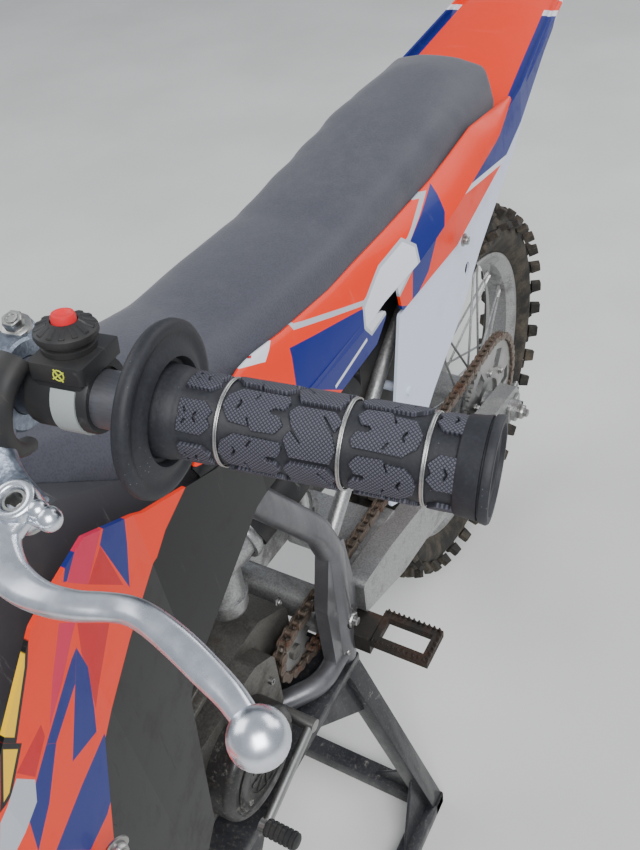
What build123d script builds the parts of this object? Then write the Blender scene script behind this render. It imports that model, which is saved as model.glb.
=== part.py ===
"""Motocross bike on a paddock stand, as separate pieces at real size, in millimetres.

The pieces are drawn in bike coordinates: X forward from the rear axle, Y to the rider's left,
Z up from the ground line under both tyres. The last step moves every piece so that the origin is
under the middle of the bike, on the floor that the stand rests on.
"""
from math import asin, atan2, cos, degrees, hypot, pi, radians, sin, sqrt, tan
import os

from build123d import *

# Overall geometry
WHEELBASE = 1475.0
STAND_LIFT = 35.0          # tyres hang this far above the floor
RAKE_DEG = 26.5            # steering axis, back from the vertical
AXLE_LEAD = 57.0           # front axle ahead of the steering axis
FORK_LEAD = 22.0           # fork tubes ahead of the steering axis
FORK_HALF_SPACING = 100.0

# Wheels
FRONT_RADIUS = 347.0
REAR_RADIUS = 338.0
FRONT_TYRE_WIDTH = 84.0
REAR_TYRE_WIDTH = 100.0
TYRE_HEIGHT = 70.0          # from the rim's edge to the lugs' tips, in front
REAR_TYRE_HEIGHT = 86.0
FRONT_RIM_RADIUS = FRONT_RADIUS - TYRE_HEIGHT
REAR_RIM_RADIUS = REAR_RADIUS - REAR_TYRE_HEIGHT
FRONT_RIM_WIDTH = 46.0
REAR_RIM_WIDTH = 58.0
FLANGE_HEIGHT = 6.0
FLANGE_WIDTH = 3.0
BEAD_GAP = 0.3               # from a tyre's bead to the top of the rim's flange
LUG_HEIGHT = 13.0
LUG_ROOT = 4.0               # depth to which a lug runs into the casing
TYRE_SIDES = 36
TREAD_SHARE = 0.40           # flat middle of the casing, as a share of the half width
SHOULDER_SHARE = 0.25        # length of the leaning shoulder, as a share of the width
SHOULDER_DEG = 38.0
LUG_PLAN = [
    # row of each two, on the shoulder or not, width as a share of the tyre's, length round
    (0, False, 0.36, 30.0), (1, True, 0.24, 26.0),
]
SPOKES_PER_SIDE = 16
SPOKE_RADIUS = 2.0
AXLE_RADIUS = 12.5
RUNNING_GAP = 0.08         # radial play of a shaft in its own bore
FREE_GAP = 5.0             # room beside a turning piece
FRONT_DISC_RADIUS = 130.0
REAR_DISC_RADIUS = 110.0
DISC_THICKNESS = 3.0
FRONT_DISC_Y = 48.0
REAR_DISC_Y = -56.0

# Chain drive
PITCH = 15.875
LINKS = 116
REAR_TEETH = 48
FRONT_TEETH = 13
ROLLER_REACH = 4.6           # from a four-sided roller's middle to its corner
CHAIN_Y = 66.0
CHAIN_SLOT = 8.0           # free width between the side plates
PLATE_THICKNESS = 3.6
PLATE_HALF_HEIGHT = 7.0
TOOTH_THICKNESS = 5.8
DRIVE_SHAFT_RADIUS = 10.0

# Chassis points
REAR_AXLE_Z = 340.0
FRONT_AXLE_Z = 347.0
PIVOT = (585.0, 0.0, 462.0)
RAIL_RADIUS = 17.0
CRADLE_RADIUS = 14.0
CROSS_RADIUS = 14.0
DOWN_TUBE_RADIUS = 19.0
HEAD_RADIUS = 29.0
STEM_RADIUS = 15.0
SUBFRAME_RADIUS = 9.0
FRAME_BOTTOM_Z = 385.0

# Handlebar
BAR_WIDTH = 811.0
BAR_RADIUS = 11.1
BAR_CENTRE_RADIUS = 14.3
GRIP_LENGTH = 118.0
GRIP_RADIUS = 15.6
GRIP_COLLAR = 13.0            # thicker length beside the flange
FLANGE_RADIUS = 31.0
FLANGE_THICKNESS = 5.0
PANEL_THICKNESS = 3.5

RAKE = radians(RAKE_DEG)
UP = Vector(-sin(RAKE), 0, cos(RAKE))
AHEAD = Vector(cos(RAKE), 0, sin(RAKE))
FRONT_AXLE = Vector(WHEELBASE, 0, FRONT_AXLE_Z)
STEER_FOOT = FRONT_AXLE - AHEAD * AXLE_LEAD
STEER = Plane(origin=STEER_FOOT, x_dir=AHEAD, z_dir=UP)

# Heights along the steering axis, from the point nearest the front axle
BAR_HEIGHT = 911.0
BAR_LEAD = 8.0
UPPER_CLAMP = (BAR_HEIGHT - 57, BAR_HEIGHT - 29)
FORK_TOP = BAR_HEIGHT - 16
LOWER_CLAMP = (670.0, 710.0)
HEAD_TUBE = (LOWER_CLAMP[1] + FREE_GAP, UPPER_CLAMP[0] - FREE_GAP)
OUTER_BOTTOM = 335.0
OUTER_RADIUS = 28.0
INNER_RADIUS = 24.0

PARTS = {}


def keep(name, shape):
    """Files a piece, or several like pieces that don't touch, under its node's name."""
    PARTS[name] = shape


def several(*shapes):
    """Like pieces on one body, as separate solids of one node."""
    return Compound(children=[solid for shape in shapes for solid in shape.solids()])


def largest(shape):
    """The biggest of the solids that a cut leaves."""
    return max(shape.solids(), key=lambda solid: solid.volume)


def mirrored(shape):
    return mirror(shape, about=Plane.XZ)


def rod(start, end, radius):
    """A round bar from start to end."""
    start, end = Vector(start), Vector(end)
    plane = Plane(origin=start, z_dir=end - start)
    return extrude(plane * Circle(radius), amount=(end - start).length)


def cone(start, end, radius_start, radius_end):
    """A tapered round bar from start to end."""
    start, end = Vector(start), Vector(end)
    length = (end - start).length
    taper = Plane(origin=start, z_dir=end - start)
    shape = Cone(radius_start, radius_end, length, align=(Align.CENTER, Align.CENTER, Align.MIN))
    return taper.location * shape


def bent_tube(points, radii, radius):
    """A round tube along straight runs joined by arcs."""
    path = FilletPolyline(*[Vector(p) for p in points], radius=radii)
    return sweep(Plane(origin=path @ 0, z_dir=path % 0) * Circle(radius), path=path)


def side_plate(outline, low_y, high_y, corner=0.0):
    """A plate in the side view, outline in (x, z), between two values of y."""
    plane = Plane(origin=(0, high_y, 0), x_dir=(1, 0, 0), z_dir=(0, -1, 0))
    face = Polygon(*outline, align=None)
    if corner:
        face = fillet(face.vertices(), corner)
    return extrude(plane * face, amount=high_y - low_y, dir=(0, -1, 0))


def disc(centre, radius, low_y, high_y):
    """A round slab whose axis is along Y."""
    x, _, z = centre
    return rod((x, low_y, z), (x, high_y, z), radius)


def curved_band(spine, thickness, low_z, high_z, lean_deg=0.0):
    """A bent vertical sheet. spine lists (x, y) of its inner side, and it leans in with height."""
    inner = [(x, y) for x, y in spine]
    outer = [(x, y + thickness) for x, y in reversed(spine)]
    face = Plane(origin=(0, 0, low_z)) * Polygon(*inner, *outer, align=None)
    lean = tan(radians(lean_deg))
    height = high_z - low_z
    return extrude(face, amount=height * sqrt(1 + lean * lean), dir=(0, -lean, 1))


def crowned_section(x, half_low, half_high, z_low, z_high, crown):
    """A closed section across the bike with sloping sides and an arched top."""
    plane = Plane(origin=(x, 0, 0), x_dir=(0, 1, 0), z_dir=(1, 0, 0))
    base = Polyline((-half_high, z_high), (-half_low, z_low), (half_low, z_low), (half_high, z_high))
    top = ThreePointArc((half_high, z_high), (0, z_high + crown), (-half_high, z_high))
    return plane * make_face(base.edges() + top.edges())


def arched_section(x, half_width, z_edge, crown, thickness):
    """A thin arched section across the bike, for a mudguard."""
    plane = Plane(origin=(x, 0, 0), x_dir=(0, 1, 0), z_dir=(1, 0, 0))
    top = ThreePointArc((half_width, z_edge), (0, z_edge + crown), (-half_width, z_edge))
    low = ThreePointArc((-half_width, z_edge - thickness), (0, z_edge + crown - thickness),
                        (half_width, z_edge - thickness))
    ends = Line((-half_width, z_edge), (-half_width, z_edge - thickness)).edges()
    ends += Line((half_width, z_edge - thickness), (half_width, z_edge)).edges()
    return plane * make_face(top.edges() + low.edges() + ends)


def steered(shape):
    """Moves a piece drawn in the steering frame (X ahead, Z along the axis) to its place."""
    return STEER.location * shape


def steer_point(ahead, side, along):
    return STEER_FOOT + AHEAD * ahead + Vector(0, side, 0) + UP * along


# Wheels, drawn round the origin with the axle along Y
def wheel_ring(profile):
    """A ring turned about Y from an outline of (radius, y)."""
    face = Plane(origin=(0, 0, 0), x_dir=(1, 0, 0), z_dir=(0, 0, 1)) * Polygon(*profile, align=None)
    return revolve(face, axis=Axis.Y)


def drum(stations):
    """A many-sided drum about Y through stations of (y, radius to the middle of a side)."""
    faces = [Plane(origin=(0, y, 0), x_dir=(1, 0, 0), z_dir=(0, 1, 0))
             * RegularPolygon(radius, TYRE_SIDES, major_radius=False) for y, radius in stations]
    return loft(faces, ruled=True)


def tyre(radius, width, rim_radius, rim_width):
    """A knobby tyre whose beads sit inside the rim's flanges."""
    half, seat = width / 2, rim_width / 2 - FLANGE_WIDTH - 0.2
    lip = rim_radius + FLANGE_HEIGHT
    widest = rim_radius + (radius - rim_radius) * 0.52
    base, lean = radius - LUG_HEIGHT, radians(SHOULDER_DEG)
    tread, shoulder = half * TREAD_SHARE, width * SHOULDER_SHARE
    right = [(tread, base), (tread + shoulder * cos(lean), base - shoulder * sin(lean)),
             (half, widest)]
    casing = drum([(-y, r) for y, r in reversed(right)] + right)
    for side in (1, -1):
        casing -= drum([(side * seat, lip + BEAD_GAP), (side * half, widest)])
    casing -= disc((0, 0, 0), rim_radius, -half, half)
    depth = LUG_HEIGHT + LUG_ROOT
    shoulder_middle = Pos(0, tread + shoulder / 2 * cos(lean), base - shoulder / 2 * sin(lean))
    lugs = []
    for row in range(TYRE_SIDES):
        for shift, on_shoulder, lug_width, length in LUG_PLAN:
            if row % 2 != shift:
                continue
            lug = Pos(0, 0, depth / 2 - LUG_ROOT) * Box(length, lug_width * width, depth)
            turn = Rot(0, 360 * (row + 0.5) / TYRE_SIDES, 0)
            if on_shoulder:
                left = turn * shoulder_middle * Rot(-SHOULDER_DEG, 0, 0) * lug
                lugs += [left, mirror(left, Plane.XZ)]
            else:
                lugs.append(turn * Pos(0, 0, base) * lug)
    return casing + lugs


def wire_wheel(rim_radius, rim_width, hub_radius, hub_half, bore, hub_length, carriers):
    """Rim, hub and crossed spokes in one piece. carriers lists (radius, y from, y to)."""
    half = rim_width / 2
    inside = half - FLANGE_WIDTH
    lip = rim_radius + FLANGE_HEIGHT
    right = [(rim_radius - 15, half - 12), (rim_radius, half), (lip, half), (lip, inside),
             (rim_radius, inside)]
    rim = wheel_ring(right + [(r, -y) for r, y in reversed(right)])
    hub = disc((0, 0, 0), hub_radius * 0.62, -hub_half, hub_half)
    for side in (-1, 1):
        hub += disc((0, 0, 0), hub_radius, side * hub_half - 4, side * hub_half + 4)
    hub += disc((0, 0, 0), bore + 9, -hub_length / 2, hub_length / 2)
    for radius, low_y, high_y in carriers:
        hub += disc((0, 0, 0), radius, low_y, high_y)
    hub -= disc((0, 0, 0), bore, -hub_length, hub_length)
    spokes = []
    for side in (-1, 1):
        for index in range(SPOKES_PER_SIDE):
            turn = 2 * pi * (index + (0.5 if side > 0 else 0)) / SPOKES_PER_SIDE
            lean = radians(52) * (1 if index % 2 else -1)
            inner_r, outer_r = hub_radius - 5, rim_radius - 10
            sweep_angle = turn + lean * 0.62
            inner = (inner_r * cos(turn), side * hub_half, inner_r * sin(turn))
            outer = (outer_r * cos(sweep_angle), side * 6, outer_r * sin(sweep_angle))
            spokes.append(rod(inner, outer, SPOKE_RADIUS))
    return rim + hub + spokes


def brake_disc(radius, y, bore, window_count):
    """A ventilated disc with a round carrier."""
    plate = disc((0, 0, 0), radius, y - DISC_THICKNESS / 2, y + DISC_THICKNESS / 2)
    plate -= disc((0, 0, 0), bore, y - 10, y + 10)
    for index in range(window_count):
        turn = 360 * index / window_count
        window = Pos(radius * 0.62, 0, 0) * Box(radius * 0.16, 20, radius * 0.34)
        plate -= Pos(0, y, 0) * Rot(0, turn, 0) * window
    return plate


def wheels():
    front = Pos(WHEELBASE, 0, FRONT_AXLE_Z)
    rear = Pos(0, 0, REAR_AXLE_Z)
    keep("front_tyre", front * tyre(FRONT_RADIUS, FRONT_TYRE_WIDTH, FRONT_RIM_RADIUS,
                                    FRONT_RIM_WIDTH))
    keep("rear_tyre", rear * tyre(REAR_RADIUS, REAR_TYRE_WIDTH, REAR_RIM_RADIUS,
                                  REAR_RIM_WIDTH))
    bore = AXLE_RADIUS + RUNNING_GAP
    half = DISC_THICKNESS / 2
    front_seat = [(34, 34, FRONT_DISC_Y - half)]
    rear_seats = [(40, REAR_DISC_Y + half, -36), (52, 36, CHAIN_Y - TOOTH_THICKNESS / 2)]
    keep("front_rim", front * wire_wheel(FRONT_RIM_RADIUS, FRONT_RIM_WIDTH, 42, 32, bore, 130,
                                         front_seat))
    keep("rear_rim", rear * wire_wheel(REAR_RIM_RADIUS, REAR_RIM_WIDTH, 56, 34, bore, 150,
                                       rear_seats))
    keep("front_disc", front * brake_disc(FRONT_DISC_RADIUS, FRONT_DISC_Y, bore + 9, 8))
    keep("rear_disc", rear * brake_disc(REAR_DISC_RADIUS, REAR_DISC_Y, bore + 9, 8))


# Chain drive
FRONT_PITCH_RADIUS = FRONT_TEETH * PITCH / (2 * pi)
REAR_PITCH_RADIUS = REAR_TEETH * PITCH / (2 * pi)


def sprocket_distance():
    """Distance between the sprockets that LINKS links just reach round."""
    loop = LINKS * PITCH
    step = REAR_PITCH_RADIUS - FRONT_PITCH_RADIUS
    distance = 650.0
    for _ in range(20):
        lean = asin(step / distance)
        wrapped = REAR_PITCH_RADIUS * (pi + 2 * lean) + FRONT_PITCH_RADIUS * (pi - 2 * lean)
        distance += (loop - 2 * distance * cos(lean) - wrapped) / 2
    return distance


FRONT_SPROCKET_Z = 470.0
SPROCKET_DISTANCE = sprocket_distance()
FRONT_SPROCKET_X = sqrt(SPROCKET_DISTANCE ** 2 - (FRONT_SPROCKET_Z - REAR_AXLE_Z) ** 2)
DRIVE_SLOPE = atan2(FRONT_SPROCKET_Z - REAR_AXLE_Z, FRONT_SPROCKET_X)
DRIVE_LEAN = asin((REAR_PITCH_RADIUS - FRONT_PITCH_RADIUS) / SPROCKET_DISTANCE)


def chain_point(travel, offset):
    """Point at a distance along the pitch line from the rear sprocket's top, offset outwards."""
    straight = SPROCKET_DISTANCE * cos(DRIVE_LEAN)
    front_wrap = pi - 2 * DRIVE_LEAN
    rear_wrap = pi + 2 * DRIVE_LEAN
    top = DRIVE_SLOPE + pi / 2 - DRIVE_LEAN
    rear, front = (0.0, REAR_AXLE_Z), (FRONT_SPROCKET_X, FRONT_SPROCKET_Z)
    if travel < straight:
        angle, along = top, travel
        base = rear
        radius = REAR_PITCH_RADIUS + offset
        direction = angle - pi / 2
        return (base[0] + radius * cos(angle) + along * cos(direction),
                base[1] + radius * sin(angle) + along * sin(direction))
    travel -= straight
    if travel < front_wrap * FRONT_PITCH_RADIUS:
        angle = top - travel / FRONT_PITCH_RADIUS
        radius = FRONT_PITCH_RADIUS + offset
        return (front[0] + radius * cos(angle), front[1] + radius * sin(angle))
    travel -= front_wrap * FRONT_PITCH_RADIUS
    bottom = top - front_wrap
    if travel < straight:
        radius = FRONT_PITCH_RADIUS + offset
        direction = bottom - pi / 2
        return (front[0] + radius * cos(bottom) + travel * cos(direction),
                front[1] + radius * sin(bottom) + travel * sin(direction))
    travel -= straight
    angle = bottom - travel / REAR_PITCH_RADIUS
    radius = REAR_PITCH_RADIUS + offset
    return (rear[0] + radius * cos(angle), rear[1] + radius * sin(angle))


def chain_slope(travel):
    """Direction of the pitch line at a distance along it, in radians."""
    before, after = chain_point(travel - 1, 0), chain_point(travel + 1, 0)
    return atan2(after[1] - before[1], after[0] - before[0])


def sprocket(teeth, pitch_radius, first_roller_deg, bore, low_y, high_y, clearance=0.0):
    """A toothed plate whose gaps lie at the rollers, the first of them at the angle given."""
    tip, root_half, tip_half = pitch_radius + 4.0, 4.5, 0.9
    floor = pitch_radius - ROLLER_REACH - clearance
    root = floor
    for _ in range(4):
        root = floor / cos(pi / teeth - atan2(root_half, root))
    outline = []
    for index in range(teeth):
        angle = radians(first_roller_deg) + 2 * pi * (index + 0.5) / teeth
        for radius, half in ((root, -root_half), (tip, -tip_half), (tip, tip_half), (root, root_half)):
            turn = angle + atan2(half, radius)
            outline.append((radius * cos(turn), radius * sin(turn)))
    plate = side_plate(outline, low_y, high_y)
    return plate - disc((0, 0, 0), bore, low_y - 5, high_y + 5)


def chain_loop(outer_offset, inner_offset, low_y, high_y):
    """A closed strip along the pitch line between two offsets."""
    return drive_outline(outer_offset, low_y, high_y) - drive_outline(inner_offset, low_y, high_y)


def drive_outline(offset, low_y, high_y):
    """The many-sided solid inside a belt round both sprockets, offset from the pitch line."""
    straight = SPROCKET_DISTANCE * cos(DRIVE_LEAN)
    front_arc = (pi - 2 * DRIVE_LEAN) * FRONT_PITCH_RADIUS
    rear_arc = (pi + 2 * DRIVE_LEAN) * REAR_PITCH_RADIUS
    rear_start = 2 * straight + front_arc
    marks = [0.0]
    for start, arc, sides in ((straight, front_arc, FRONT_TEETH // 2),
                              (rear_start, rear_arc, REAR_TEETH // 3)):
        marks += [start + arc * index / sides for index in range(sides + 1)]
    return side_plate([chain_point(mark, offset) for mark in marks[:-1]], low_y, high_y)


def chain_drive():
    slot = CHAIN_SLOT / 2
    loop = chain_loop(PLATE_HALF_HEIGHT, -PLATE_HALF_HEIGHT, CHAIN_Y + slot,
                      CHAIN_Y + slot + PLATE_THICKNESS)
    far = chain_loop(PLATE_HALF_HEIGHT, -PLATE_HALF_HEIGHT, CHAIN_Y - slot - PLATE_THICKNESS,
                     CHAIN_Y - slot)
    rollers = []
    for index in range(LINKS):
        x, z = chain_point((index + 0.5) * PITCH, 0)
        reach = slot + PLATE_THICKNESS / 2
        side = ROLLER_REACH * sqrt(2)
        turn = degrees(chain_slope((index + 0.5) * PITCH)) + 45
        rollers.append(Pos(x, CHAIN_Y, z) * Rot(0, -turn, 0) * Box(side, 2 * reach, side))
    keep("chain", loop + far + rollers)
    half = TOOTH_THICKNESS / 2
    rear_roller = chain_roller_angle((0.0, REAR_AXLE_Z), REAR_PITCH_RADIUS)
    front_roller = chain_roller_angle((FRONT_SPROCKET_X, FRONT_SPROCKET_Z), FRONT_PITCH_RADIUS)
    plate = sprocket(REAR_TEETH, REAR_PITCH_RADIUS, rear_roller, 46, -half, half, 0.4)
    for index in range(6):
        window = Pos(82, 0, 0) * Box(34, 20, 30)
        plate -= Rot(0, 60 * index, 0) * window
    keep("rear_sprocket", Pos(0, CHAIN_Y, REAR_AXLE_Z) * plate)
    small = sprocket(FRONT_TEETH, FRONT_PITCH_RADIUS, front_roller, DRIVE_SHAFT_RADIUS, -half, half)
    keep("front_sprocket", Pos(FRONT_SPROCKET_X, CHAIN_Y, FRONT_SPROCKET_Z) * small)


def chain_roller_angle(centre, pitch_radius):
    """Angle in degrees of a roller that lies on this sprocket."""
    for index in range(LINKS):
        x, z = chain_point((index + 0.5) * PITCH, 0)
        if abs(hypot(x - centre[0], z - centre[1]) - pitch_radius) < 0.01:
            return degrees(atan2(z - centre[1], x - centre[0]))
    raise ValueError("no roller on the sprocket")


# Frame
RAIL_Y = 92.0
RAIL_PATH = [(850, 24, 880), (705, 80, 792), (612, RAIL_Y, 650), (590, RAIL_Y, 590),
             (590, RAIL_Y, FRAME_BOTTOM_Z + 2)]
RAIL_BENDS = [60, 90, 60]
CRADLE_PATH = [(942, 14, 462), (905, 52, 399), (705, 52, 399), (650, RAIL_Y, 399),
               (588, RAIL_Y, 399)]
CRADLE_BENDS = [50, 60, 60]
SPINE_START_ALONG = HEAD_TUBE[1] - 74


def frame():
    head = steered(rod((0, 0, HEAD_TUBE[0]), (0, 0, HEAD_TUBE[1]), HEAD_RADIUS))
    spine_start = steer_point(0, 0, SPINE_START_ALONG)
    spine = rod(spine_start, (850, 0, 880), 27)
    spine += Pos(850, 0, 880) * Sphere(27)
    gusset = side_plate([(1066, 985), (1020, 830), (900, 880), (1040, 1010)], -8, 8)
    bearing_bore = steered(rod((0, 0, HEAD_TUBE[0] - 5), (0, 0, HEAD_TUBE[1] + 5),
                               STEM_RADIUS + RUNNING_GAP))
    down_top, down_foot = steer_point(-20, 0, HEAD_TUBE[1] - 86), Vector(942, 0, 452)
    down_tube = rod(down_top, down_foot, DOWN_TUBE_RADIUS)
    rail = bent_tube(RAIL_PATH, RAIL_BENDS, RAIL_RADIUS)
    rails = rail + mirrored(rail)
    cross = rod((705, -78, 792), (705, 78, 792), CROSS_RADIUS)
    plates = side_plate([(562, 388), (622, 388), (626, 520), (608, 600), (572, 600), (558, 500)],
                        RAIL_Y - 9, RAIL_Y + 9, 6)
    plates += mirrored(plates)
    pivot_hole = disc(PIVOT, 12, -150, 150)
    spine_node = (head + spine + gusset + down_tube) - bearing_bore
    rails_node = (rails + cross + plates) - pivot_hole
    rails_node -= rod(spine_start, (850, 0, 880), 27) + Pos(850, 0, 880) * Sphere(27)
    cradle = bent_tube(CRADLE_PATH, CRADLE_BENDS, CRADLE_RADIUS)
    cradle += mirrored(cradle)
    cradle += rod((720, -52, 399), (720, 52, 399), 11)
    cradle -= rails_node
    cradle -= down_tube
    keep("frame_spine", spine_node)
    keep("frame_rails", rails_node)
    keep("frame_cradle", cradle)
    subframe()


def subframe():
    upper = rod((706, 62, 800), (40, 56, 870), SUBFRAME_RADIUS)
    lower = rod((592, RAIL_Y, 606), (190, 60, 850), SUBFRAME_RADIUS)
    side = upper + lower
    loop = side + mirrored(side)
    for x, z in ((560, 815), (300, 842), (60, 868)):
        loop += rod((x, -58, z), (x, 58, z), 7)
    loop -= PARTS["frame_rails"]
    keep("subframe", loop)


# Swingarm, its shaft and the shock absorber
ARM_OUTLINE = [(552, 436), (552, 492), (470, 482), (-30, 368), (-48, 340), (-30, 314), (440, 392)]
ARM_ROOT_OUTLINE = [(612, 440), (612, 484), (470, 478), (400, 470), (400, 425), (470, 428)]
BRACE_OUTLINE = [(395, 402), (470, 408), (488, 466), (400, 456)]
GUIDE_OUTLINE = [(185, 262), (292, 298), (300, 378), (190, 360)]
GUIDE_FLOOR = [(190, 256), (290, 290), (290, 302), (190, 268)]


def swingarm():
    """Both arms, their pivot tube, the rear wheel's shaft and the chain guide."""
    arm = side_plate(ARM_OUTLINE, 80, 110, 8)
    arm += side_plate(ARM_ROOT_OUTLINE, 50, 81, 8) - side_plate(
        [(552, 380), (640, 380), (640, 560), (552, 560)], 70, 90)
    whole = arm + mirrored(arm)
    whole += disc(PIVOT, 24, -70, 70)
    whole += side_plate(BRACE_OUTLINE, -56, 56, 6)
    whole += disc(PIVOT, 11.8, -102, 102)
    whole += disc((0, 0, REAR_AXLE_Z), AXLE_RADIUS, -122, 122)
    for side in (1, -1):
        near, far = sorted((side * 109, side * 124))
        whole += disc((0, 0, REAR_AXLE_Z), 19, near, far)
    whole += side_plate(GUIDE_OUTLINE, 77.5, 82, 4) + side_plate(GUIDE_FLOOR, 57, 79)
    keep("swingarm", whole)


SHOCK_LOW = Vector(462, -30, 482)
SHOCK_HIGH = Vector(705, -30, 792)


def shock():
    line = (SHOCK_HIGH - SHOCK_LOW).normalized()
    unit = rod(SHOCK_LOW, SHOCK_HIGH, 13)
    unit += rod(SHOCK_LOW + line * 70, SHOCK_HIGH - line * 130, 34)
    unit += rod(SHOCK_HIGH - line * 128, SHOCK_HIGH - line * 45, 27)
    for point in (SHOCK_LOW, SHOCK_HIGH):
        unit += disc(point, 21, point.Y - 16, point.Y + 16)
    unit -= disc(SHOCK_HIGH, CROSS_RADIUS, -90, 90)
    keep("shock", unit - side_plate(BRACE_OUTLINE, -56, 56, 6))


# Engine
CRANK = (800.0, 0.0, 470.0)
CYLINDER_TILT = 12.0
CYLINDER_BASE = (812.0, 0.0, 556.0)


def engine():
    case = side_plate([(636, 430), (636, 520), (690, 556), (880, 562), (925, 520), (912, 440),
                       (860, 416), (690, 416)], -72, 50, 18)
    case += side_plate([(706, 424), (706, 530), (740, 552), (860, 552), (882, 520), (882, 424)],
                       40, 76, 18)
    back, nose = CHAIN_Y - TOOTH_THICKNESS / 2, CHAIN_Y + TOOTH_THICKNESS / 2 + 4
    shaft_at = (FRONT_SPROCKET_X, FRONT_SPROCKET_Z)
    case += rod((shaft_at[0], 45, shaft_at[1]), (shaft_at[0], back, shaft_at[1]), DRIVE_SHAFT_RADIUS + 6)
    case += rod((shaft_at[0], 45, shaft_at[1]), (shaft_at[0], nose, shaft_at[1]), DRIVE_SHAFT_RADIUS)
    keep("crankcase", case)
    ignition = disc(CRANK, 66, 76, 112)
    ignition = fillet(ignition.edges().filter_by(GeomType.CIRCLE).sort_by(Axis.Y)[-1], 12)
    clutch = disc((745, 0, 474), 70, -112, -72)
    clutch = fillet(clutch.edges().filter_by(GeomType.CIRCLE).sort_by(Axis.Y)[0], 12)
    water_pump = disc((858, 0, 446), 28, -100, -72)
    keep("engine_covers", several(ignition, clutch, water_pump))
    stand_on = Plane(origin=CYLINDER_BASE, x_dir=Vector(1, 0, 0).rotate(Axis.Y, CYLINDER_TILT),
                     z_dir=Vector(0, 0, 1).rotate(Axis.Y, CYLINDER_TILT))
    barrel = Pos(0, 0, 60) * Box(104, 104, 124)
    barrel = fillet(barrel.edges().filter_by(Axis.Z), 26)
    head = Pos(0, 0, 152) * Box(112, 112, 52)
    head = fillet(head.edges().filter_by(Axis.Z), 30)
    plug = Pos(0, 0, 186) * Cylinder(9, 24)
    port = Pos(52, 0, 74) * Rot(0, 90, 0) * Cylinder(24, 36)
    intake = Pos(-54, 0, 66) * Rot(0, 90, 0) * Cylinder(24, 36)
    top_end = stand_on.location * (barrel + head + plug + port + intake)
    keep("cylinder", largest(top_end - case))


def intake():
    carb = rod((742, 8, 650), (650, 26, 664), 26)
    carb += rod((697, 17, 600), (697, 17, 715), 24)
    boot = rod((650, 26, 664), (590, 40, 684), 30) + rod((590, 40, 684), (446, 42, 716), 30)
    boot += Pos(590, 40, 684) * Sphere(30)
    boot -= PARTS["shock"]
    carb -= PARTS["cylinder"]
    boot -= carb
    keep("carburettor", carb)
    box = side_plate([(446, 560), (446, 806), (180, 806), (180, 705), (325, 605)], -52, 70, 10)
    keep("airbox", (box + boot) - PARTS["shock"] - PARTS["subframe"])


PIPE_STATIONS = [
    # x, y, z, radius
    (886, 0, 622, 22), (925, -34, 590, 25), (960, -70, 545, 32), (975, -100, 500, 42),
    (940, -122, 505, 50), (875, -128, 575, 48), (790, -132, 655, 40), (690, -134, 705, 29),
    (590, -130, 722, 15), (440, -128, 728, 13),
]


def exhaust():
    pipe = None
    for near, far in zip(PIPE_STATIONS, PIPE_STATIONS[1:]):
        piece = cone(near[:3], far[:3], near[3], far[3])
        pipe = piece if pipe is None else pipe + piece
    for x, y, z, radius in PIPE_STATIONS[1:-1]:
        pipe += Pos(x, y, z) * Sphere(radius)
    pipe -= PARTS["cylinder"]
    keep("exhaust_pipe", pipe)
    start, end = Vector(440, -128, 728), Vector(-60, -132, 792)
    line = (end - start).normalized()
    can = rod(start, end, 36)
    can = chamfer(can.edges().filter_by(GeomType.CIRCLE), 8)
    can += rod(end, end + line * 30, 13)
    can += rod((150, -56, 856), (150, -126, 792), 7)
    keep("silencer", can - pipe - PARTS["subframe"])


RADIATOR_TOP = (1040.0, 852.0)
RADIATOR_FOOT = (978.0, 610.0)


def radiators():
    top, foot = Vector(RADIATOR_TOP[0], 0, RADIATOR_TOP[1]), Vector(RADIATOR_FOOT[0], 0, RADIATOR_FOOT[1])
    middle = (top + foot) / 2
    tilt = degrees(atan2(top.X - foot.X, top.Z - foot.Z))
    height = (top - foot).length
    core = Box(32, 84, height - 40)
    tanks = Pos(0, 0, height / 2 - 10) * Box(36, 88, 24)
    tanks += Pos(0, 0, -height / 2 + 10) * Box(36, 88, 24)
    body = core + tanks
    for index in range(9):
        z = -height / 2 + 34 + index * (height - 68) / 8
        body -= Pos(16, 0, z) * Rot(0, 35, 0) * Box(14, 74, 10)
    one = Pos(middle.X, 110, middle.Z) * Rot(0, tilt, 0) * body
    for x, z in ((1018, 816), (972, 640)):
        one += rod((x, 4, z), (x + 8, 70, z + 4), 7)
    one -= PARTS["frame_spine"]
    keep("radiators", several(one, mirrored(one)))


def calipers():
    """Both brake calipers with the brackets that hold them."""
    slot = DISC_THICKNESS / 2 + 2.5
    centre = Vector(-36, FRONT_DISC_Y + 5, 84)
    body = Pos(*centre) * Rot(0, -22, 0) * Box(46, 40, 84)
    body -= Pos(AXLE_LEAD, FRONT_DISC_Y, 0) * Rot(90, 0, 0) * Cylinder(FRONT_DISC_RADIUS + 5, 2 * slot)
    bracket = Pos(-12, FORK_HALF_SPACING - 32, 52) * Box(40, 12, 34)
    bracket += Pos(-12, FORK_HALF_SPACING - 18, 52) * Box(20, 30, 26)
    keep("front_caliper", steered(body + bracket) - PARTS["fork_inners"])
    rear = Pos(84, REAR_DISC_Y, REAR_AXLE_Z + 84) * Rot(0, 45, 0) * Box(40, 40, 70)
    rear -= disc((0, 0, REAR_AXLE_Z), REAR_DISC_RADIUS + 5, REAR_DISC_Y - slot, REAR_DISC_Y + slot)
    rear += side_plate([(60, 360), (120, 372), (120, 430), (60, 430)], -80, -66)
    rear -= disc((0, 0, REAR_AXLE_Z), REAR_DISC_RADIUS + 5, REAR_DISC_Y - slot, REAR_DISC_Y + slot)
    keep("rear_caliper", rear - PARTS["swingarm"])


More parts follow.
